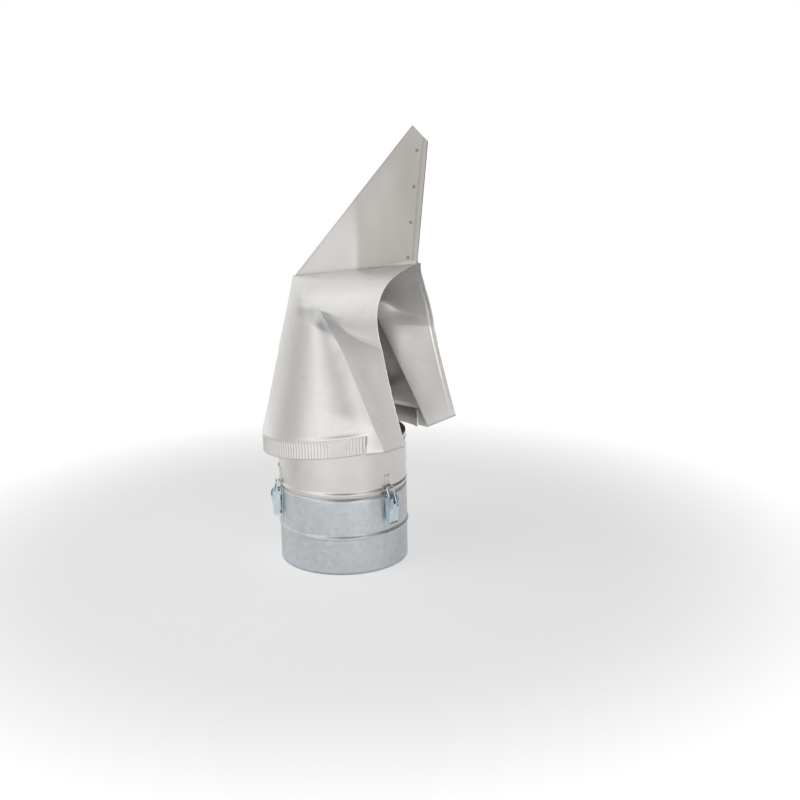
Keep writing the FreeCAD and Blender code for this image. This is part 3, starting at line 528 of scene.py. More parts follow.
def halfWidth(x, z):
    wall = archY(x, z)
    wide = (foldAt(z) - creaseX(z)) / plan["foldFade"]
    if wide > plan["foldLeast"]:
        soft = mix(*plan["foldSoft"], smoothStep(*plan["foldSoftZ"], z))
        wall = smoothMin(wall, flapY(x, z), soft * min(wide, 1.0))
    if x < 0:
        nose = frontY(x, z, coneRadius(z))
        share = plan["noseRoundingShare"]
        blend = min(plan["noseRounding"] * smoothStep(*plan["noseRoundingX"], x), share * nose, share * wall)
        wall = smoothMin(nose, wall, blend) if blend > 0.01 else min(nose, wall)
    return smoothMax(wall, humpY(x, z), plan["humpMeet"])


def settle(start, step):
    x = start
    for _ in range(12):
        x = step(x)
    return x


def liftedHeight(x, level, endX):
    z = levelHeight(x, level)
    foot = creaseX(z)
    if x <= foot or level >= 1:
        return z
    low = skirtHeight(x)
    share = (z - low) / (springHeight(x) - low)
    return z + plan["cornerLift"] * (1 - share) ** 3 * (x - foot) / (endX - foot)


rowEnds = {}


def endsOf(level):
    if level not in rowEnds:
        nose = settle(-150.0, lambda x: noseX(levelHeight(x, level)))
        rear = settle(160.0, lambda x: rearX(liftedHeight(x, level, x), level))
        fold = settle(100.0, lambda x: max(creaseX(levelHeight(x, level)), plan["creaseEndX"]))
        rowEnds[level] = (nose, rear, fold)
    return rowEnds[level]


def sheetPoint(along, level):
    # columns below 0 keep their distance from the rear edge, where the hem is
    nose, rear, fold = endsOf(level)
    inner = rear - plan["hemColumns"]
    if along < 0:
        x = inner - plan["hemColumns"] * along
    elif along <= 1:
        x = mix(inner, fold, along)
    else:
        x = nose + (fold - nose) * (1 + math.cos(math.pi * (along - 1))) / 2
    z = liftedHeight(x, level, rear)
    onPlane = along >= 2 or level >= 2
    return Vector((x, 0.0 if onPlane else -halfWidth(x, z), z))


def foldedPoint(along, level):
    # the bend along the crease has a small radius, so points there are averaged over it
    reach = plan["creaseBend"]
    if abs(along - 1) > reach or level >= 2:
        return sheetPoint(along, level)
    share = 1 - abs(along - 1) / reach
    around = [sheetPoint(along + share * reach * k, level) for k in (-1, -0.5, 0, 0.5, 1)]
    return sum(around, Vector()) / len(around)


def foldGrime(x, z):
    # painted shade on the two facets above the round front, either side of the crease's top
    shadePaint = plan["paintedFoldShade"]
    if x < creaseX(z):
        start, soft = ledgeZ(x), shadePaint["ledgeSoft"]
        upper = smoothStep(start - soft, start + soft, z) * smoothStep(*shadePaint["upperZ"], z)
        return upper * smoothStep(*shadePaint["frontX"], x)
    return smoothStep(*shadePaint["lowerZ"], z) * smoothStep(foldAt(z) + shadePaint["past"], foldAt(z) - shadePaint["before"], x)


def dent(p):
    # slow waves of hand-folded sheet
    at = Vector(p) / plan["dentSpacing"]
    return plan["dentSize"] * (
        noise.noise(at + Vector((3, 7, 1))) + plan["dentFine"] * noise.noise(at * plan["dentFineRate"]))


def bandRadius(angle):
    # almost a circle, wider at the front and flaring towards the seams
    seam = math.radians(plan["seamAngle"])
    near = max(1 - (angle - seam) / math.radians(plan["flareSpan"]), 0.0)
    middle = plan["skirtRadius"] - plan["bandInset"] + plan["bandLean"] * math.cos(angle)
    return middle + plan["seamFlare"] * near * near


def columnStops():
    stops = [d / plan["hemColumns"] - 1 for d in (0.0, 0.4, 0.9, 2.0, 4.5, 7.0, 7.8, 8.3, 8.7, 9.2, 10.0)]
    stops += [i / 40 for i in range(37)]
    stops += [0.925, 0.95, 0.97, 0.985, 1.0, 1.012, 1.025, 1.045, 1.07]
    stops += [1.1 + 0.9 * i / 84 for i in range(85)]
    return stops


def rowStops():
    rows = [bandRows * i / 6 for i in range(6)]
    rows += [bandRows + (1 - bandRows) * i / 110 for i in range(111)]
    rows += [1 + i / 54 for i in range(1, 55)]
    return rows


def makeHood():
    columns, rows = columnStops(), rowStops()
    near = [[foldedPoint(a, v) for v in rows] for a in columns]
    verts, edgeWearAndSheen, hem, paintedFoldShade = [], [], [], []
    for a, column in zip(columns, near):
        for v, p in zip(rows, column):
            verts.append(p)
            paintedFoldShade.append(foldGrime(p.x, p.z))
            inset = (a + 1) * plan["hemColumns"]
            hem.append(plan["hemRise"] * smoothStep(0.9, -0.9, inset - plan["hemWidth"]))
            # a painted highlight along the crease's ridge; the rear edge paler, partly bare worn metal and partly
            # painted highlight
            creaseHighlight = 0.5 * max(1 - abs(a - 1) / 0.02, 0.0) * smoothStep(0.75, 0.55, v)
            edgeWearAndSheen.append(smoothStep(1.6, 0.2, inset) + creaseHighlight)
    far = [Vector((p.x, -p.y, p.z)) for p in verts]
    faces = gridFaces(len(columns), len(rows))
    count = len(verts)
    faces += [tuple(count + i for i in reversed(f)) for f in faces]
    obj = meshObject("hoodSheet", verts + far, faces, 0)
    for label, values in (("edgeWearAndSheen", edgeWearAndSheen), ("hem", hem), ("paintedFoldShade", paintedFoldShade)):
        attribute = obj.data.attributes.new(label, "FLOAT", "POINT")
        attribute.data.foreach_set("value", values + values)
    bm = bmesh.new()
    bm.from_mesh(obj.data)
    bmesh.ops.remove_doubles(bm, verts=bm.verts, dist=2e-5)
    seam = math.radians(plan["seamAngle"])
    seamX = bandRadius(seam) * math.cos(seam) * mm
    # the faces low enough to meet the band are cut along its seam
    low = [f for f in bm.faces if f.calc_center_median().z < plan["seamZone"] * mm]
    geometry = list({e for f in low for e in f.edges}) + list({v for f in low for v in f.verts}) + low
    bmesh.ops.bisect_plane(bm, geom=geometry, plane_co=(seamX, 0, 0), plane_no=(1, 0, 0), dist=1e-6)
    gone = []
    for f in bm.faces:
        c = f.calc_center_median() / mm
        if c.x < seamX / mm and c.z < skirtHeight(c.x) + plan["bandHeight"] - 0.3:
            gone.append(f)
    bmesh.ops.delete(bm, geom=gone, context="FACES")
    faceOutward(bm)
    hemLayer = bm.verts.layers.float["hem"]
    for v in bm.verts:
        p = v.co / mm
        v.co += v.normal * (dent(p) + v[hemLayer]) * mm
        above = p.z - skirtHeight(p.x) - plan["bandHeight"]
        if p.x < seamX / mm - 0.01 and above < plan["bendHeight"]:
            # the sheet turns in to the band's circle just above it
            wide = math.hypot(p.x, p.y)
            keep = smoothStep(-2.0, plan["bendHeight"], above)
            rim = bandRadius(math.atan2(abs(p.y), p.x))
            share = (rim + (wide - rim) * keep) / wide
            v.co.x *= share
            v.co.y *= share
    bm.to_mesh(obj.data)
    bm.free()
    obj.data.shade_smooth()
    addModifier(obj, "SOLIDIFY", thickness=plan["sheet"] * mm, offset=-1.0, use_even_offset=True)
    return obj


hood = makeHood()
dress(hood, materials["hood_sheet"], "hood", "hood_sheet", "hood_shell")
print("hood sheet:", len(hood.data.polygons), "faces")


# ---- the crimped band, made by rule

def geometryTree(name, inputs):
    sockets = [("Geometry", "NodeSocketGeometry", None)] + inputs + [("Material", "NodeSocketMaterial", None)]
    return newGroup(name, sockets, [("Geometry", "NodeSocketGeometry")], "GeometryNodeTree")


def closeTree(tree, start, end, geometry):
    smooth = addNode(tree, "GeometryNodeSetShadeSmooth", i0=geometry)
    realized = addNode(tree, "GeometryNodeRealizeInstances", i0=smooth.outputs[0])
    painted = addNode(tree, "GeometryNodeSetMaterial", i0=realized.outputs[0])
    tree.links.new(start.outputs["Material"], painted.inputs["Material"])
    tree.links.new(painted.outputs[0], end.inputs["Geometry"])


def growMesh(name, tree, values, source=None):
    mesh = source or bpy.data.meshes.new(name + "Seed")
    obj = bpy.data.objects.new(name, mesh)
    scene.collection.objects.link(obj)
    modifier = obj.modifiers.new("Nodes", "NODES")
    modifier.node_group = tree
    for item in tree.interface.items_tree:
        if item.item_type == "SOCKET" and item.in_out == "INPUT" and item.name in values:
            modifier[item.identifier] = values[item.name]
    bpy.context.view_layer.update()
    evaluated = obj.evaluated_get(bpy.context.evaluated_depsgraph_get())
    plain = bpy.data.meshes.new_from_object(evaluated)
    obj.modifiers.clear()
    obj.data = plain
    plain.name = name
    return obj


def crimpTree():
    tree, start, end = geometryTree("crimpedBand", [
        ("Radius", "NodeSocketFloat", 0.158), ("Band Height", "NodeSocketFloat", 0.034),
        ("Rib Count", "NodeSocketInt", 91), ("Rib Depth", "NodeSocketFloat", 0.0015),
        ("Seam Angle", "NodeSocketFloat", 0.74), ("Slant", "NodeSocketFloat", 0.9),
        ("Foot Height", "NodeSocketFloat", 0.2326), ("Foot Rise", "NodeSocketFloat", 0.102),
        ("Front Lean", "NodeSocketFloat", -0.0026), ("Seam Flare", "NodeSocketFloat", 0.0024),
        ("Flare Span", "NodeSocketFloat", 0.38)])
    pull = start.outputs
    across = mathNode(tree, "MULTIPLY_ADD", pull["Rib Count"], 12.0, 1.0)
    grid = addNode(tree, "GeometryNodeMeshGrid", Size_X=1.0, Size_Y=1.0, Vertices_Y=17)
    tree.links.new(across, grid.inputs["Vertices X"])
    spot = addNode(tree, "ShaderNodeSeparateXYZ", Vector=addNode(tree, "GeometryNodeInputPosition").outputs[0])
    u = mathNode(tree, "ADD", spot.outputs[0], 0.5)
    v = mathNode(tree, "ADD", spot.outputs[1], 0.5)
    sweep = mathNode(tree, "MULTIPLY_ADD", pull["Seam Angle"], -2.0, 2 * math.pi)
    angle = mathNode(tree, "ADD", mathNode(tree, "MULTIPLY", u, sweep), pull["Seam Angle"])
    turns = mathNode(tree, "MULTIPLY", mathNode(tree, "MULTIPLY", u, pull["Rib Count"]), 2 * math.pi)
    phase = mathNode(tree, "ADD", turns, mathNode(tree, "MULTIPLY", v, pull["Slant"]))
    wave = mathNode(tree, "COSINE", phase)
    push = mathNode(tree, "MULTIPLY", mathNode(tree, "SUBTRACT", wave, 1.0), 0.5)
    fade = rangeNode(tree, v, 0.86, 1.0, 1.0, 0.12, smooth=True)
    push = mathNode(tree, "MULTIPLY", mathNode(tree, "MULTIPLY", push, pull["Rib Depth"]), fade)
    fromSeam = mathNode(tree, "MULTIPLY", mathNode(tree, "PINGPONG", u, 0.5), sweep)
    near = mathNode(tree, "SUBTRACT", 1.0, mathNode(tree, "DIVIDE", fromSeam, pull["Flare Span"]), clamp=True)
    flare = mathNode(tree, "MULTIPLY", mathNode(tree, "MULTIPLY", near, near), pull["Seam Flare"])
    lean = mathNode(tree, "MULTIPLY", pull["Front Lean"], mathNode(tree, "COSINE", angle))
    radius = mathNode(tree, "ADD", mathNode(tree, "ADD", pull["Radius"], push), mathNode(tree, "ADD", flare, lean))
    x = mathNode(tree, "MULTIPLY", radius, mathNode(tree, "COSINE", angle))
    y = mathNode(tree, "MULTIPLY", radius, mathNode(tree, "SINE", angle))
    z = mathNode(tree, "ADD", mathNode(tree, "MULTIPLY", x, pull["Foot Rise"]), pull["Foot Height"])
    z = mathNode(tree, "ADD", z, mathNode(tree, "MULTIPLY", v, pull["Band Height"]))
    place = addNode(tree, "ShaderNodeCombineXYZ", X=x, Y=y, Z=z)
    moved = addNode(tree, "GeometryNodeSetPosition", Geometry=grid.outputs[0], Position=place.outputs[0])
    closeTree(tree, start, end, moved.outputs[0])
    return tree


band = growMesh("crimpedBand", crimpTree(), {
    "Radius": (plan["skirtRadius"] - plan["bandInset"]) * mm,
    "Band Height": (plan["bandHeight"] + plan["bandTuck"]) * mm,
    "Rib Count": plan["ribCount"], "Rib Depth": plan["ribDepth"] * mm, "Slant": plan["ribSlant"],
    "Seam Angle": math.radians(plan["seamAngle"] - plan["bandLap"]),
    "Foot Height": plan["skirtHeight"] * mm, "Foot Rise": plan["skirtSlope"], "Seam Flare": plan["seamFlare"] * mm,
    "Front Lean": plan["bandLean"] * mm, "Flare Span": math.radians(plan["flareSpan"]),
    "Material": materials["hood_sheet"]})
bandMesh = bmesh.new()
bandMesh.from_mesh(band.data)
faceOutward(bandMesh)
bandMesh.to_mesh(band.data)
bandMesh.free()
addModifier(band, "SOLIDIFY", thickness=plan["sheet"] * mm, offset=-1.0)
dress(band, materials["hood_sheet"], "hood", "hood_sheet")
print("crimped band:", len(band.data.polygons), "faces")


# ---- tail fin

finPlan = {
    "footPoint": (-94.0, 550.6), "tip": (163.6, 839.0), "cut": (193.6, 809.8), "heelX": 168.6, "thick": 9.0,
    "hemWidth": 10.0, "hemStep": 0.75, "flatStart": 26.0, "pinch": 107.0, "sheet": 0.8,
    "bulge": 1.4, "bulgeSpacing": 85.0, "footStart": 60.0, "footEnd": 165.0, "footRise": 7.0,
    # rows close together at the foot, then evenly; columns at distances from the front and rear edges
    "footRows": 9, "footRowStep": 0.0035, "rows": 76, "columns": 44,
    "frontStops": (0, 0.4, 1.0, 1.8, 2.8, 4.0, 5.5, 8.0, 12.0),
    "rearStops": (0, 0.5, 4.5, 9.5, 9.75, 10.0, 10.25, 10.5, 14.0, 20.0),
}


def finHalf(fromFront, fromRear):
    full = finPlan["thick"] / 2
    thin = finPlan["sheet"] + 0.05
    t = min(max((fromRear - finPlan["flatStart"]) / finPlan["pinch"], 0.0), 1.0)
    half = thin + (full - thin) * t * t
    nose = min(fromFront / full, 1.0)
    half *= math.sqrt(max(1 - (1 - nose) ** 2, 0.0))
    hem = finPlan["hemStep"] * smoothStep(0, 1, (finPlan["hemWidth"] - fromRear) / 0.7 + 0.5)
    return half + hem * min(fromFront / 2.0, 1.0)


def finGrid(side):
    # rows run up the fin; each follows the ridge at the bottom and the sloping front at the left
    rows = [i * finPlan["footRowStep"] for i in range(finPlan["footRows"])]
    rows += [mix(rows[-1], 1.0, i / finPlan["rows"]) for i in range(1, finPlan["rows"] + 1)]
    front, rear, middle = finPlan["frontStops"], finPlan["rearStops"], finPlan["columns"]
    cut, tip = finPlan["cut"], finPlan["tip"]
    foot = finPlan["footPoint"]
    heel = Vector((finPlan["heelX"], 0, ridgeHeight(finPlan["heelX"])))
    slope = math.atan2(tip[1] - foot[1], tip[0] - foot[0])
    verts = []
    for t in rows:
        # a line from the front edge to the rear edge, turning from the ridge's slope to the cut corner's
        a = Vector((mix(foot[0], tip[0], t), 0, mix(foot[1], tip[1], t)))
        b = Vector((mix(heel.x, cut[0], t), 0, mix(heel.z, cut[1], t)))
        length = max((b - a).length, 0.01)
        way = (b - a) / length
        room = max(length - front[-1] - rear[-1], 0.0)
        scale = min(1.0, length / (front[-1] + rear[-1]))
        stops = [f * scale for f in front]
        stops += [front[-1] * scale + room * i / middle for i in range(1, middle)]
        stops += [length - r * scale for r in reversed(rear)]
        for s in stops:
            p = a + way * s
            # distance from the front edge, square to it
            d = (p.x - foot[0]) * math.sin(slope) - (p.z - foot[1]) * math.cos(slope)
            half = finHalf(max(d, 0.0), length - s)
            # the pinched sheet spreads again to its foot on the roof
            rise = finPlan["footRise"] * (p.x - finPlan["footStart"]) / (finPlan["footEnd"] - finPlan["footStart"])
            up = p.z - ridgeHeight(p.x)
            if rise > 0.2 and up < rise:
                half = max(half, finPlan["thick"] / 2 * (1 - 0.8 * up / rise))
            wave = finPlan["bulge"] * noise.noise(Vector((p.x, 40, p.z)) / finPlan["bulgeSpacing"])
            wave *= smoothStep(4, 60, d)
            wave *= smoothStep(12, 60, length - s)
            verts.append((p.x, side * half + wave, p.z))
    return verts, len(rows), len(verts) // len(rows)


def buildFin():
    near, rowCount, columnCount = finGrid(-1)
    far, _, _ = finGrid(1)
    faces = gridFaces(rowCount, columnCount)
    count = len(near)
    allFaces = [tuple(reversed(f)) for f in faces] + [tuple(count + i for i in f) for f in faces]
    last = columnCount - 1
    top = (rowCount - 1) * columnCount
    for r in range(rowCount - 1):       # rear edge closes the hem
        a, b = r * columnCount + last, (r + 1) * columnCount + last
        allFaces.append((a, b, count + b, count + a))
    for c in range(last):               # cut corner
        a, b = top + c, top + c + 1
        allFaces.append((b, a, count + a, count + b))
        a, b = c, c + 1                 # underneath
        allFaces.append((a, b, count + b, count + a))
    obj = meshObject("tailFin", near + far, allFaces, 0)
    tidyMesh(obj, 2e-5)
    softenShading(obj, 50)
    return obj


fin = buildFin()
dress(fin, materials["fin_sheet"], "hood", "hood_sheet", "vane")
print("tail fin:", len(fin.data.polygons), "faces")


# ---- base ring and collar

ringPlan = {
    "radius": 125.0, "wall": 0.8, "height": 150.0, "beadHeight": 72.0, "beadRise": 2.6, "beadLength": 11.0,
    "groove": 0.35, "segments": 240, "ovality": 0.25,
}
collarPlan = {
    "radius": 124.6, "wall": 0.8, "top": 251.0, "spigotRadius": 123.9, "spigotLow": 112.0, "joint": 150.3,
    "beadRise": 2.2, "beadLength": 12.0, "rimBeadRise": 1.2, "rimBeadLength": 7.0, "rimBelowTop": 12.0,
    "ovality": 0.2,
}


def beadProfile(radius, middle, length, rise, groove):
    points = []
    for i in range(17):
        t = -1 + i / 8
        bump = rise * (0.5 + 0.5 * math.cos(math.pi * t)) ** 0.8
        points.append((radius + bump, middle + t * length / 2))
    low = (radius - groove, middle - length / 2 - 1.2)
    high = (radius - groove, middle + length / 2 + 1.2)
    edge = [(radius, low[1] - 1.2), low]
    return edge + points + [high, (radius, high[1] + 1.2)]


def lathe(name, profile, segments, wobble):
    verts = []
    for i in range(segments):
        angle = 2 * math.pi * i / segments
        for r, z in profile:
            swell = wobble * noise.noise(Vector((math.cos(angle) * 1.3, math.sin(angle) * 1.3, z / 60)))
            verts.append(((r + swell) * math.cos(angle), (r + swell) * math.sin(angle), z))
    return meshObject(name, verts, gridFaces(segments, len(profile), True), 0)


def runUp(radius, low, high, steps):
    return [(radius, low + (high - low) * i / steps) for i in range(steps + 1)]


def makeRing():
    p = ringPlan
    bead = beadProfile(p["radius"], p["beadHeight"], p["beadLength"], p["beadRise"], p["groove"])
    profile = runUp(p["radius"], 0.0, bead[0][1] - 1, 8) + bead + runUp(p["radius"], bead[-1][1] + 1, p["height"], 8)
    obj = lathe("baseRing", profile, p["segments"], p["ovality"])
    addModifier(obj, "SOLIDIFY", thickness=p["wall"] * mm, offset=-1.0)
    return obj


def makeCollar():
    p = collarPlan
    r = p["radius"]
    joint = p["joint"]
    lower = beadProfile(r, joint + 1 + p["beadLength"] / 2, p["beadLength"], p["beadRise"], 0.0)[2:-2]
    rim = beadProfile(r, p["top"] - p["rimBelowTop"], p["rimBeadLength"], p["rimBeadRise"], 0.0)[2:-2]
    profile = runUp(p["spigotRadius"], p["spigotLow"], joint - 0.4, 4) + [(r, joint + 0.2)] + lower
    profile += runUp(r, lower[-1][1] + 1, rim[0][1] - 1, 8) + rim + runUp(r, rim[-1][1] + 1, p["top"], 2)
    obj = lathe("upperCollar", profile, ringPlan["segments"], p["ovality"])
    addModifier(obj, "SOLIDIFY", thickness=p["wall"] * mm, offset=-1.0)
    return obj


ring = dress(makeRing(), materials["galvanised"], "base", "galvanised", "base_ring")
collar = dress(makeCollar(), materials["collar_sheet"], "base", "collar_sheet", "collar")
print("ring and collar ready")


# ---- pieces that keep their CAD shape, with their edges broken

latchPlan = {"edge": 0.22, "wireEdge": 0.05, "flatWithin": 1.0, "bevelFrom": 32.0}


def roundedCopy(name, node, material, slotName, width):
    source = frame["nodes"][node]
    obj = bpy.data.objects.new(name, source.data.copy())
    scene.collection.objects.link(obj)
    tidyMesh(obj, 2e-6, False)
    bm = bmesh.new()
    bm.from_mesh(obj.data)
    bmesh.ops.dissolve_limit(bm, angle_limit=math.radians(latchPlan["flatWithin"]), verts=bm.verts, edges=bm.edges)
    bm.to_mesh(obj.data)
    bm.free()
    softenShading(obj)
    addModifier(obj, "BEVEL", width=width * mm, segments=2, limit_method="ANGLE",
                angle_limit=math.radians(latchPlan["bevelFrom"]))
    return dress(obj, material, source["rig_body"], slotName, node)


for number in (1, 2, 3):
    for part in ("plate", "lever", "catch", "loop", "pin"):
        node = "latch_" + part + "_" + str(number)
        slotName = {"pin": "rivet_steel", "catch": "collar_sheet"}.get(part, "latch_zinc")
        width = latchPlan["wireEdge"] if part in ("loop", "pin") else latchPlan["edge"]
        roundedCopy(part + "Latch" + str(number), node, materials[slotName], slotName, width)
print("latches ready")


# ---- rivets, one head set on each place by rule

def rivetTree():
    tree, start, end = geometryTree("rivetHeads", [
        ("Head Radius", "NodeSocketFloat", 0.0044), ("Head Height", "NodeSocketFloat", 0.0018),
        ("Flat Top", "NodeSocketFloat", 0.75), ("Shank Radius", "NodeSocketFloat", 0.0023),
        ("Shank Length", "NodeSocketFloat", 0.002), ("Size Spread", "NodeSocketFloat", 0.04),
        ("Seed", "NodeSocketInt", 5)])
    pull = start.outputs
    ball = addNode(tree, "GeometryNodeMeshUVSphere", Segments=28, Rings=18, Radius=1.0)
    spot = addNode(tree, "ShaderNodeSeparateXYZ", Vector=addNode(tree, "GeometryNodeInputPosition").outputs[0])
    above = mathNode(tree, "MAXIMUM", spot.outputs[2], -0.05)
    flat = mathNode(tree, "DIVIDE", mathNode(tree, "MINIMUM", above, pull["Flat Top"]), pull["Flat Top"])
    z = mathNode(tree, "MULTIPLY", flat, pull["Head Height"])
    x = mathNode(tree, "MULTIPLY", spot.outputs[0], pull["Head Radius"])
    y = mathNode(tree, "MULTIPLY", spot.outputs[1], pull["Head Radius"])
    place = addNode(tree, "ShaderNodeCombineXYZ", X=x, Y=y, Z=z)
    head = addNode(tree, "GeometryNodeSetPosition", Geometry=ball.outputs["Mesh"], Position=place.outputs[0])
    shank = addNode(tree, "GeometryNodeMeshCylinder", Vertices=24, Radius=pull["Shank Radius"],
                    Depth=pull["Shank Length"])
    half = mathNode(tree, "MULTIPLY", pull["Shank Length"], -0.499)
    drop = addNode(tree, "ShaderNodeCombineXYZ", Z=half)
    lowered = addNode(tree, "GeometryNodeTransform", Geometry=shank.outputs["Mesh"], Translation=drop.outputs[0])
    both = addNode(tree, "GeometryNodeJoinGeometry")
    tree.links.new(head.outputs[0], both.inputs[0])
    tree.links.new(lowered.outputs[0], both.inputs[0])
    facing = addNode(tree, "GeometryNodeInputNamedAttribute", {"data_type": "FLOAT_VECTOR"}, Name="facing").outputs[0]
    turn = addNode(tree, "FunctionNodeAlignRotationToVector", {"axis": "Z"}, Vector=facing)
    low = mathNode(tree, "SUBTRACT", 1.0, pull["Size Spread"])
    size = addNode(tree, "FunctionNodeRandomValue", {"data_type": "FLOAT"}, Seed=pull["Seed"])
    tree.links.new(low, size.inputs[2])
    size.inputs[3].default_value = 1.0
    spread = addNode(tree, "GeometryNodeInstanceOnPoints", Points=pull["Geometry"], Instance=both.outputs[0],
                     Rotation=turn.outputs[0], Scale=size.outputs[1])
    closeTree(tree, start, end, spread.outputs[0])
    return tree


def rivetRow(name, spots, look, material, body, *replaced):
    # each spot is a place and the way its head faces
    seed = bpy.data.meshes.new(name + "Seed")
    seed.from_pydata([Vector(place) * mm for place, facing in spots], [], [])
    attribute = seed.attributes.new("facing", "FLOAT_VECTOR", "POINT")
    attribute.data.foreach_set("vector", [c for place, facing in spots for c in facing])
    obj = growMesh(name, groups["rivets"], dict(look, Material=material), seed)
    softenShading(obj, 40)
    return dress(obj, material, body, "rivet_steel", *replaced)


def around(radius, z, degrees):
    a = math.radians(degrees)
    return (radius * math.cos(a), radius * math.sin(a), z), (math.cos(a), math.sin(a), 0.0)


groups["rivets"] = rivetTree()
rivetPlan = {
    "latchAngles": (-18.4, -136.4, 102.6), "plateReach": 126.3, "plateHeights": (97.0, 126.0),
    "catchReach": 125.9, "catchHeights": (172.6, 181.5), "barAngles": (35.0, 215.0), "barReach": 124.65,
    "barHeights": (187.75, 214.25), "finStart": 0.044, "finStep": 0.295, "finInset": 19.5, "finFace": 0.9,
}
headLook = {"Head Radius": 4.4 * mm, "Head Height": 1.75 * mm, "Shank Radius": 2.3 * mm, "Flat Top": 0.9}
catchLook = {
    "Head Radius": 3.0 * mm, "Head Height": 1.1 * mm, "Shank Radius": 2.3 * mm, "Shank Length": 2.0 * mm,
    "Flat Top": 0.9, "Seed": 9,
}
finLook = {
    "Head Radius": 3.1 * mm, "Head Height": 0.85 * mm, "Shank Radius": 1.9 * mm, "Shank Length": 0.85 * mm,
    "Flat Top": 0.6, "Seed": 7,
}
for kind, angles, look, finish, replaced in (
        ("plate", "latchAngles", dict(headLook, **{"Shank Length": 2.0 * mm}), "rivet_steel", ["latch_rivets"]),
        ("catch", "latchAngles", catchLook, "collar_sheet", []),
        ("bar", "barAngles", dict(headLook, **{"Shank Length": 5.3 * mm, "Seed": 3}), "rivet_steel",
         ["crossbar_rivets"])):
    heights = rivetPlan[kind + "Heights"]
    spots = [around(rivetPlan[kind + "Reach"], z, a) for a in rivetPlan[angles] for z in heights]
    rivetRow(kind + "Rivets", spots, look, materials[finish], "base", *replaced)
finSpots = []
heelZ = ridgeHeight(finPlan["heelX"])
for i in range(4):
    share = rivetPlan["finStart"] + rivetPlan["finStep"] * i
    x = mix(finPlan["heelX"], finPlan["cut"][0], share) - rivetPlan["finInset"]
    z = mix(heelZ, finPlan["cut"][1], share)
    finSpots += [((x, side * rivetPlan["finFace"], z), (0.0, side, 0.0)) for side in (-1.0, 1.0)]
rivetRow("finRivets", finSpots, finLook, materials["rivet_steel"], "hood", "vane_rivets")
print("rivets ready")


# ---- CAD parts that stay as they are get their finish

record = frame["record"]
slotOf = {entry["node"]: entry["material_slot"] for entry in record["subparts"]}
for node, obj in frame["nodes"].items():
    if not obj.hide_render:
        obj.data.materials.clear()
        obj.data.materials.append(materials[slotOf[node]])
print("CAD parts painted")


# ---- floor, light and camera

stagePlan = {
    "floorSize": 1.9, "floorRings": 14, "floorSpokes": 64, "ringGrowth": 1.3,
    "floorTone": (0.96, 0.96, 0.958), "floorMottle": 0.985, "floorGlow": 0.42, "fade": (0.5, 1.5),
    "flag": (-1.0, -0.56, 0.55), "flagCore": 0.3,
    "ambient": 0.26, "roomBase": 1.0,
    # directions the metal reflects: azimuth, height, width in degrees, and how much brighter or darker
    "room": [(20, 10, 45, -1.0), (-132, 10, 45, -0.50), (-60, 45, 45, -0.98), (-60, -20, 45, 0.1), (72, 0, 34, -0.9),
             (-90, 8, 45, 0.40)],
    # name, place, size and power
    "softboxes": [("keySoftbox", (-1.7, -2.7, 3.0), (3.6, 3.6), 24.0),
                  ("sideSoftbox", (2.3, -1.5, 0.9), (0.9, 1.8), 6.0)],
    "boxAim": (0, 0, 0.4),
    "spotPlace": (0.92, -1.72, 0.16), "spotAim": (0.07, 0.11, 0.52), "spotAngle": 10.0, "spotPower": 62.0,
    "spotSize": 0.12,
}


def makeRoomGroup():
    # how bright the studio is in each direction, as metal sees it
    group, start, end = newGroup("roomTone", [("Vector", "NodeSocketVector", None)], [("Tone", "NodeSocketFloat")])
    way = addNode(group, "ShaderNodeVectorMath", {"operation": "NORMALIZE"}, i0=start.outputs["Vector"]).outputs[0]
    total = None
    for azimuth, height, width, amount in stagePlan["room"]:
        a, h = math.radians(azimuth), math.radians(height)
        unit = (math.cos(h) * math.cos(a), math.cos(h) * math.sin(a), math.sin(h))
        dot = addNode(group, "ShaderNodeVectorMath", {"operation": "DOT_PRODUCT"}, i0=way, i1=unit).outputs["Value"]
        lobe = rangeNode(group, dot, math.cos(math.radians(width)), 1.0, 0.0, amount, smooth=True)
        total = lobe if total is None else mathNode(group, "ADD", total, lobe)
    tone = mathNode(group, "MAXIMUM", mathNode(group, "ADD", total, stagePlan["roomBase"]), 0.0)
    group.links.new(tone, end.inputs["Tone"])
    return group


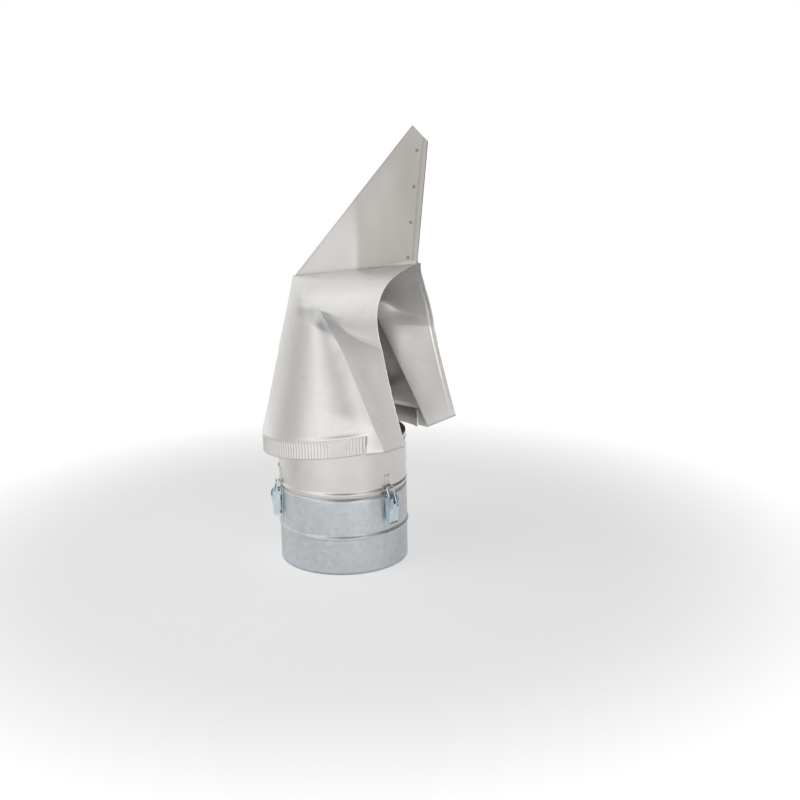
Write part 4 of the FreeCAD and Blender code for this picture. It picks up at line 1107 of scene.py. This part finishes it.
def makeFloor():
    # a round pale table, brighter towards its rim so that it melts into the backdrop
    size, rings, spokes = stagePlan["floorSize"], stagePlan["floorRings"], stagePlan["floorSpokes"]
    verts = []
    for i in range(rings):
        r = size * (i / (rings - 1)) ** stagePlan["ringGrowth"]
        for k in range(spokes):
            a = 2 * math.pi * k / spokes
            verts.append((r * math.cos(a) / mm, r * math.sin(a) / mm, -0.05))
    obj = meshObject("studioFloor", verts, [
        (i * spokes + k, i * spokes + (k + 1) % spokes, (i + 1) * spokes + (k + 1) % spokes, (i + 1) * spokes + k)
        for i in range(rings - 1) for k in range(spokes)], 0)
    tidyMesh(obj, 1e-6)
    material = bpy.data.materials.new("paleFloor")
    material.use_nodes = True
    tree = material.node_tree
    shader = tree.nodes["Principled BSDF"]
    shader.inputs["Roughness"].default_value = 0.9
    shader.inputs["Specular IOR Level"].default_value = 0.1
    place = addNode(tree, "ShaderNodeTexCoord").outputs["Object"]
    soft = addNode(tree, "ShaderNodeTexNoise", Vector=place, Scale=2.0, Detail=2.0).outputs[0]
    tone = stagePlan["floorTone"]
    color = mixColors(tree, soft, rgba(*tone), rgba(*(t * stagePlan["floorMottle"] for t in tone)))
    tree.links.new(color, shader.inputs["Base Color"])
    away = addNode(tree, "ShaderNodeVectorMath", {"operation": "LENGTH"}, i0=place).outputs["Value"]
    near, far = stagePlan["fade"]
    glow = rangeNode(tree, away, near, far, stagePlan["floorGlow"], 1.0, smooth=True)
    # a dark patch on the left, which the near flap mirrors and the camera doesn't see
    x, y, reach = stagePlan["flag"]
    apart = addNode(tree, "ShaderNodeVectorMath", {"operation": "DISTANCE"}, i0=place,
                    i1=(x, y, 0.0)).outputs["Value"]
    patch = rangeNode(tree, apart, stagePlan["flagCore"] * reach, reach, 0.0, 1.0, smooth=True)
    seen = addNode(tree, "ShaderNodeLightPath").outputs["Is Camera Ray"]
    glow = mathNode(tree, "MULTIPLY", glow, mathNode(tree, "MAXIMUM", patch, seen))
    tree.links.new(glow, shader.inputs["Emission Strength"])
    shader.inputs["Emission Color"].default_value = (1, 1, 1, 1)
    obj.data.materials.append(material)


def makeWorld():
    world = bpy.data.worlds.new("studio")
    scene.world = world
    world.use_nodes = True
    tree = world.node_tree
    tree.nodes.clear()
    room = tree.nodes.new("ShaderNodeGroup")
    room.node_tree = groups["room"]
    tree.links.new(addNode(tree, "ShaderNodeTexCoord").outputs["Generated"], room.inputs["Vector"])
    walls = addNode(tree, "ShaderNodeBackground", Color=room.outputs["Tone"], Strength=1.0)
    plain = addNode(tree, "ShaderNodeBackground", Color=(1, 1, 1, 1), Strength=stagePlan["ambient"])
    white = addNode(tree, "ShaderNodeBackground", Color=(1, 1, 1, 1), Strength=1.0)
    path = addNode(tree, "ShaderNodeLightPath")
    mirrored = mathNode(tree, "ADD", path.outputs["Is Glossy Ray"], path.outputs["Is Transmission Ray"], clamp=True)
    both = addNode(tree, "ShaderNodeMixShader", i0=mirrored)
    tree.links.new(plain.outputs[0], both.inputs[1])
    tree.links.new(walls.outputs[0], both.inputs[2])
    shown = addNode(tree, "ShaderNodeMixShader", i0=path.outputs["Is Camera Ray"])
    tree.links.new(both.outputs[0], shown.inputs[1])
    tree.links.new(white.outputs[0], shown.inputs[2])
    out = addNode(tree, "ShaderNodeOutputWorld")
    tree.links.new(shown.outputs[0], out.inputs["Surface"])


def addLamp(name, kind, place, aim, power):
    light = bpy.data.lights.new(name, kind)
    light.energy = power
    obj = bpy.data.objects.new(name, light)
    scene.collection.objects.link(obj)
    obj.location = place
    obj.rotation_euler = (Vector(aim) - Vector(place)).to_track_quat("-Z", "Y").to_euler()
    return light


def makeLamps():
    for name, place, size, power in stagePlan["softboxes"]:
        box = addLamp(name, "AREA", place, stagePlan["boxAim"], power)
        box.shape = "RECTANGLE"
        box.size, box.size_y = size
    # a narrow beam through the open side, onto the inside of the far flap
    spot = addLamp("insideSpot", "SPOT", stagePlan["spotPlace"], stagePlan["spotAim"], stagePlan["spotPower"])
    spot.spot_size = math.radians(stagePlan["spotAngle"])
    spot.spot_blend = 1.0
    spot.shadow_soft_size = stagePlan["spotSize"]


cameraPlan = {
    "place": (1190.7, -2138.4, 959.8), "aim": (0.0, 0.0, 450.0), "roll": 1.62, "focal": 58.545,
    "shift": (0.0766, -0.0879), "sensor": 36.0, "farthest": 60.0,
}


def makeCamera():
    data = bpy.data.cameras.new("photoView")
    data.sensor_width = cameraPlan["sensor"]
    data.lens = cameraPlan["focal"]
    data.shift_x, data.shift_y = cameraPlan["shift"]
    data.clip_end = cameraPlan["farthest"]
    obj = bpy.data.objects.new("photoView", data)
    scene.collection.objects.link(obj)
    place = Vector(cameraPlan["place"]) * mm
    ahead = (Vector(cameraPlan["aim"]) * mm - place).normalized()
    right = ahead.cross(Vector((0, 0, 1))).normalized()
    up = right.cross(ahead)
    roll = math.radians(cameraPlan["roll"])
    c, s = math.cos(roll), math.sin(roll)
    right, up = right * c - up * s, right * s + up * c
    turn = Matrix((right, up, -ahead)).transposed().to_4x4()
    obj.matrix_world = Matrix.Translation(place) @ turn
    scene.camera = obj


groups["room"] = makeRoomGroup()
makeFloor()
makeWorld()
makeLamps()
makeCamera()
scene.view_settings.view_transform = "Standard"
print("stage ready")
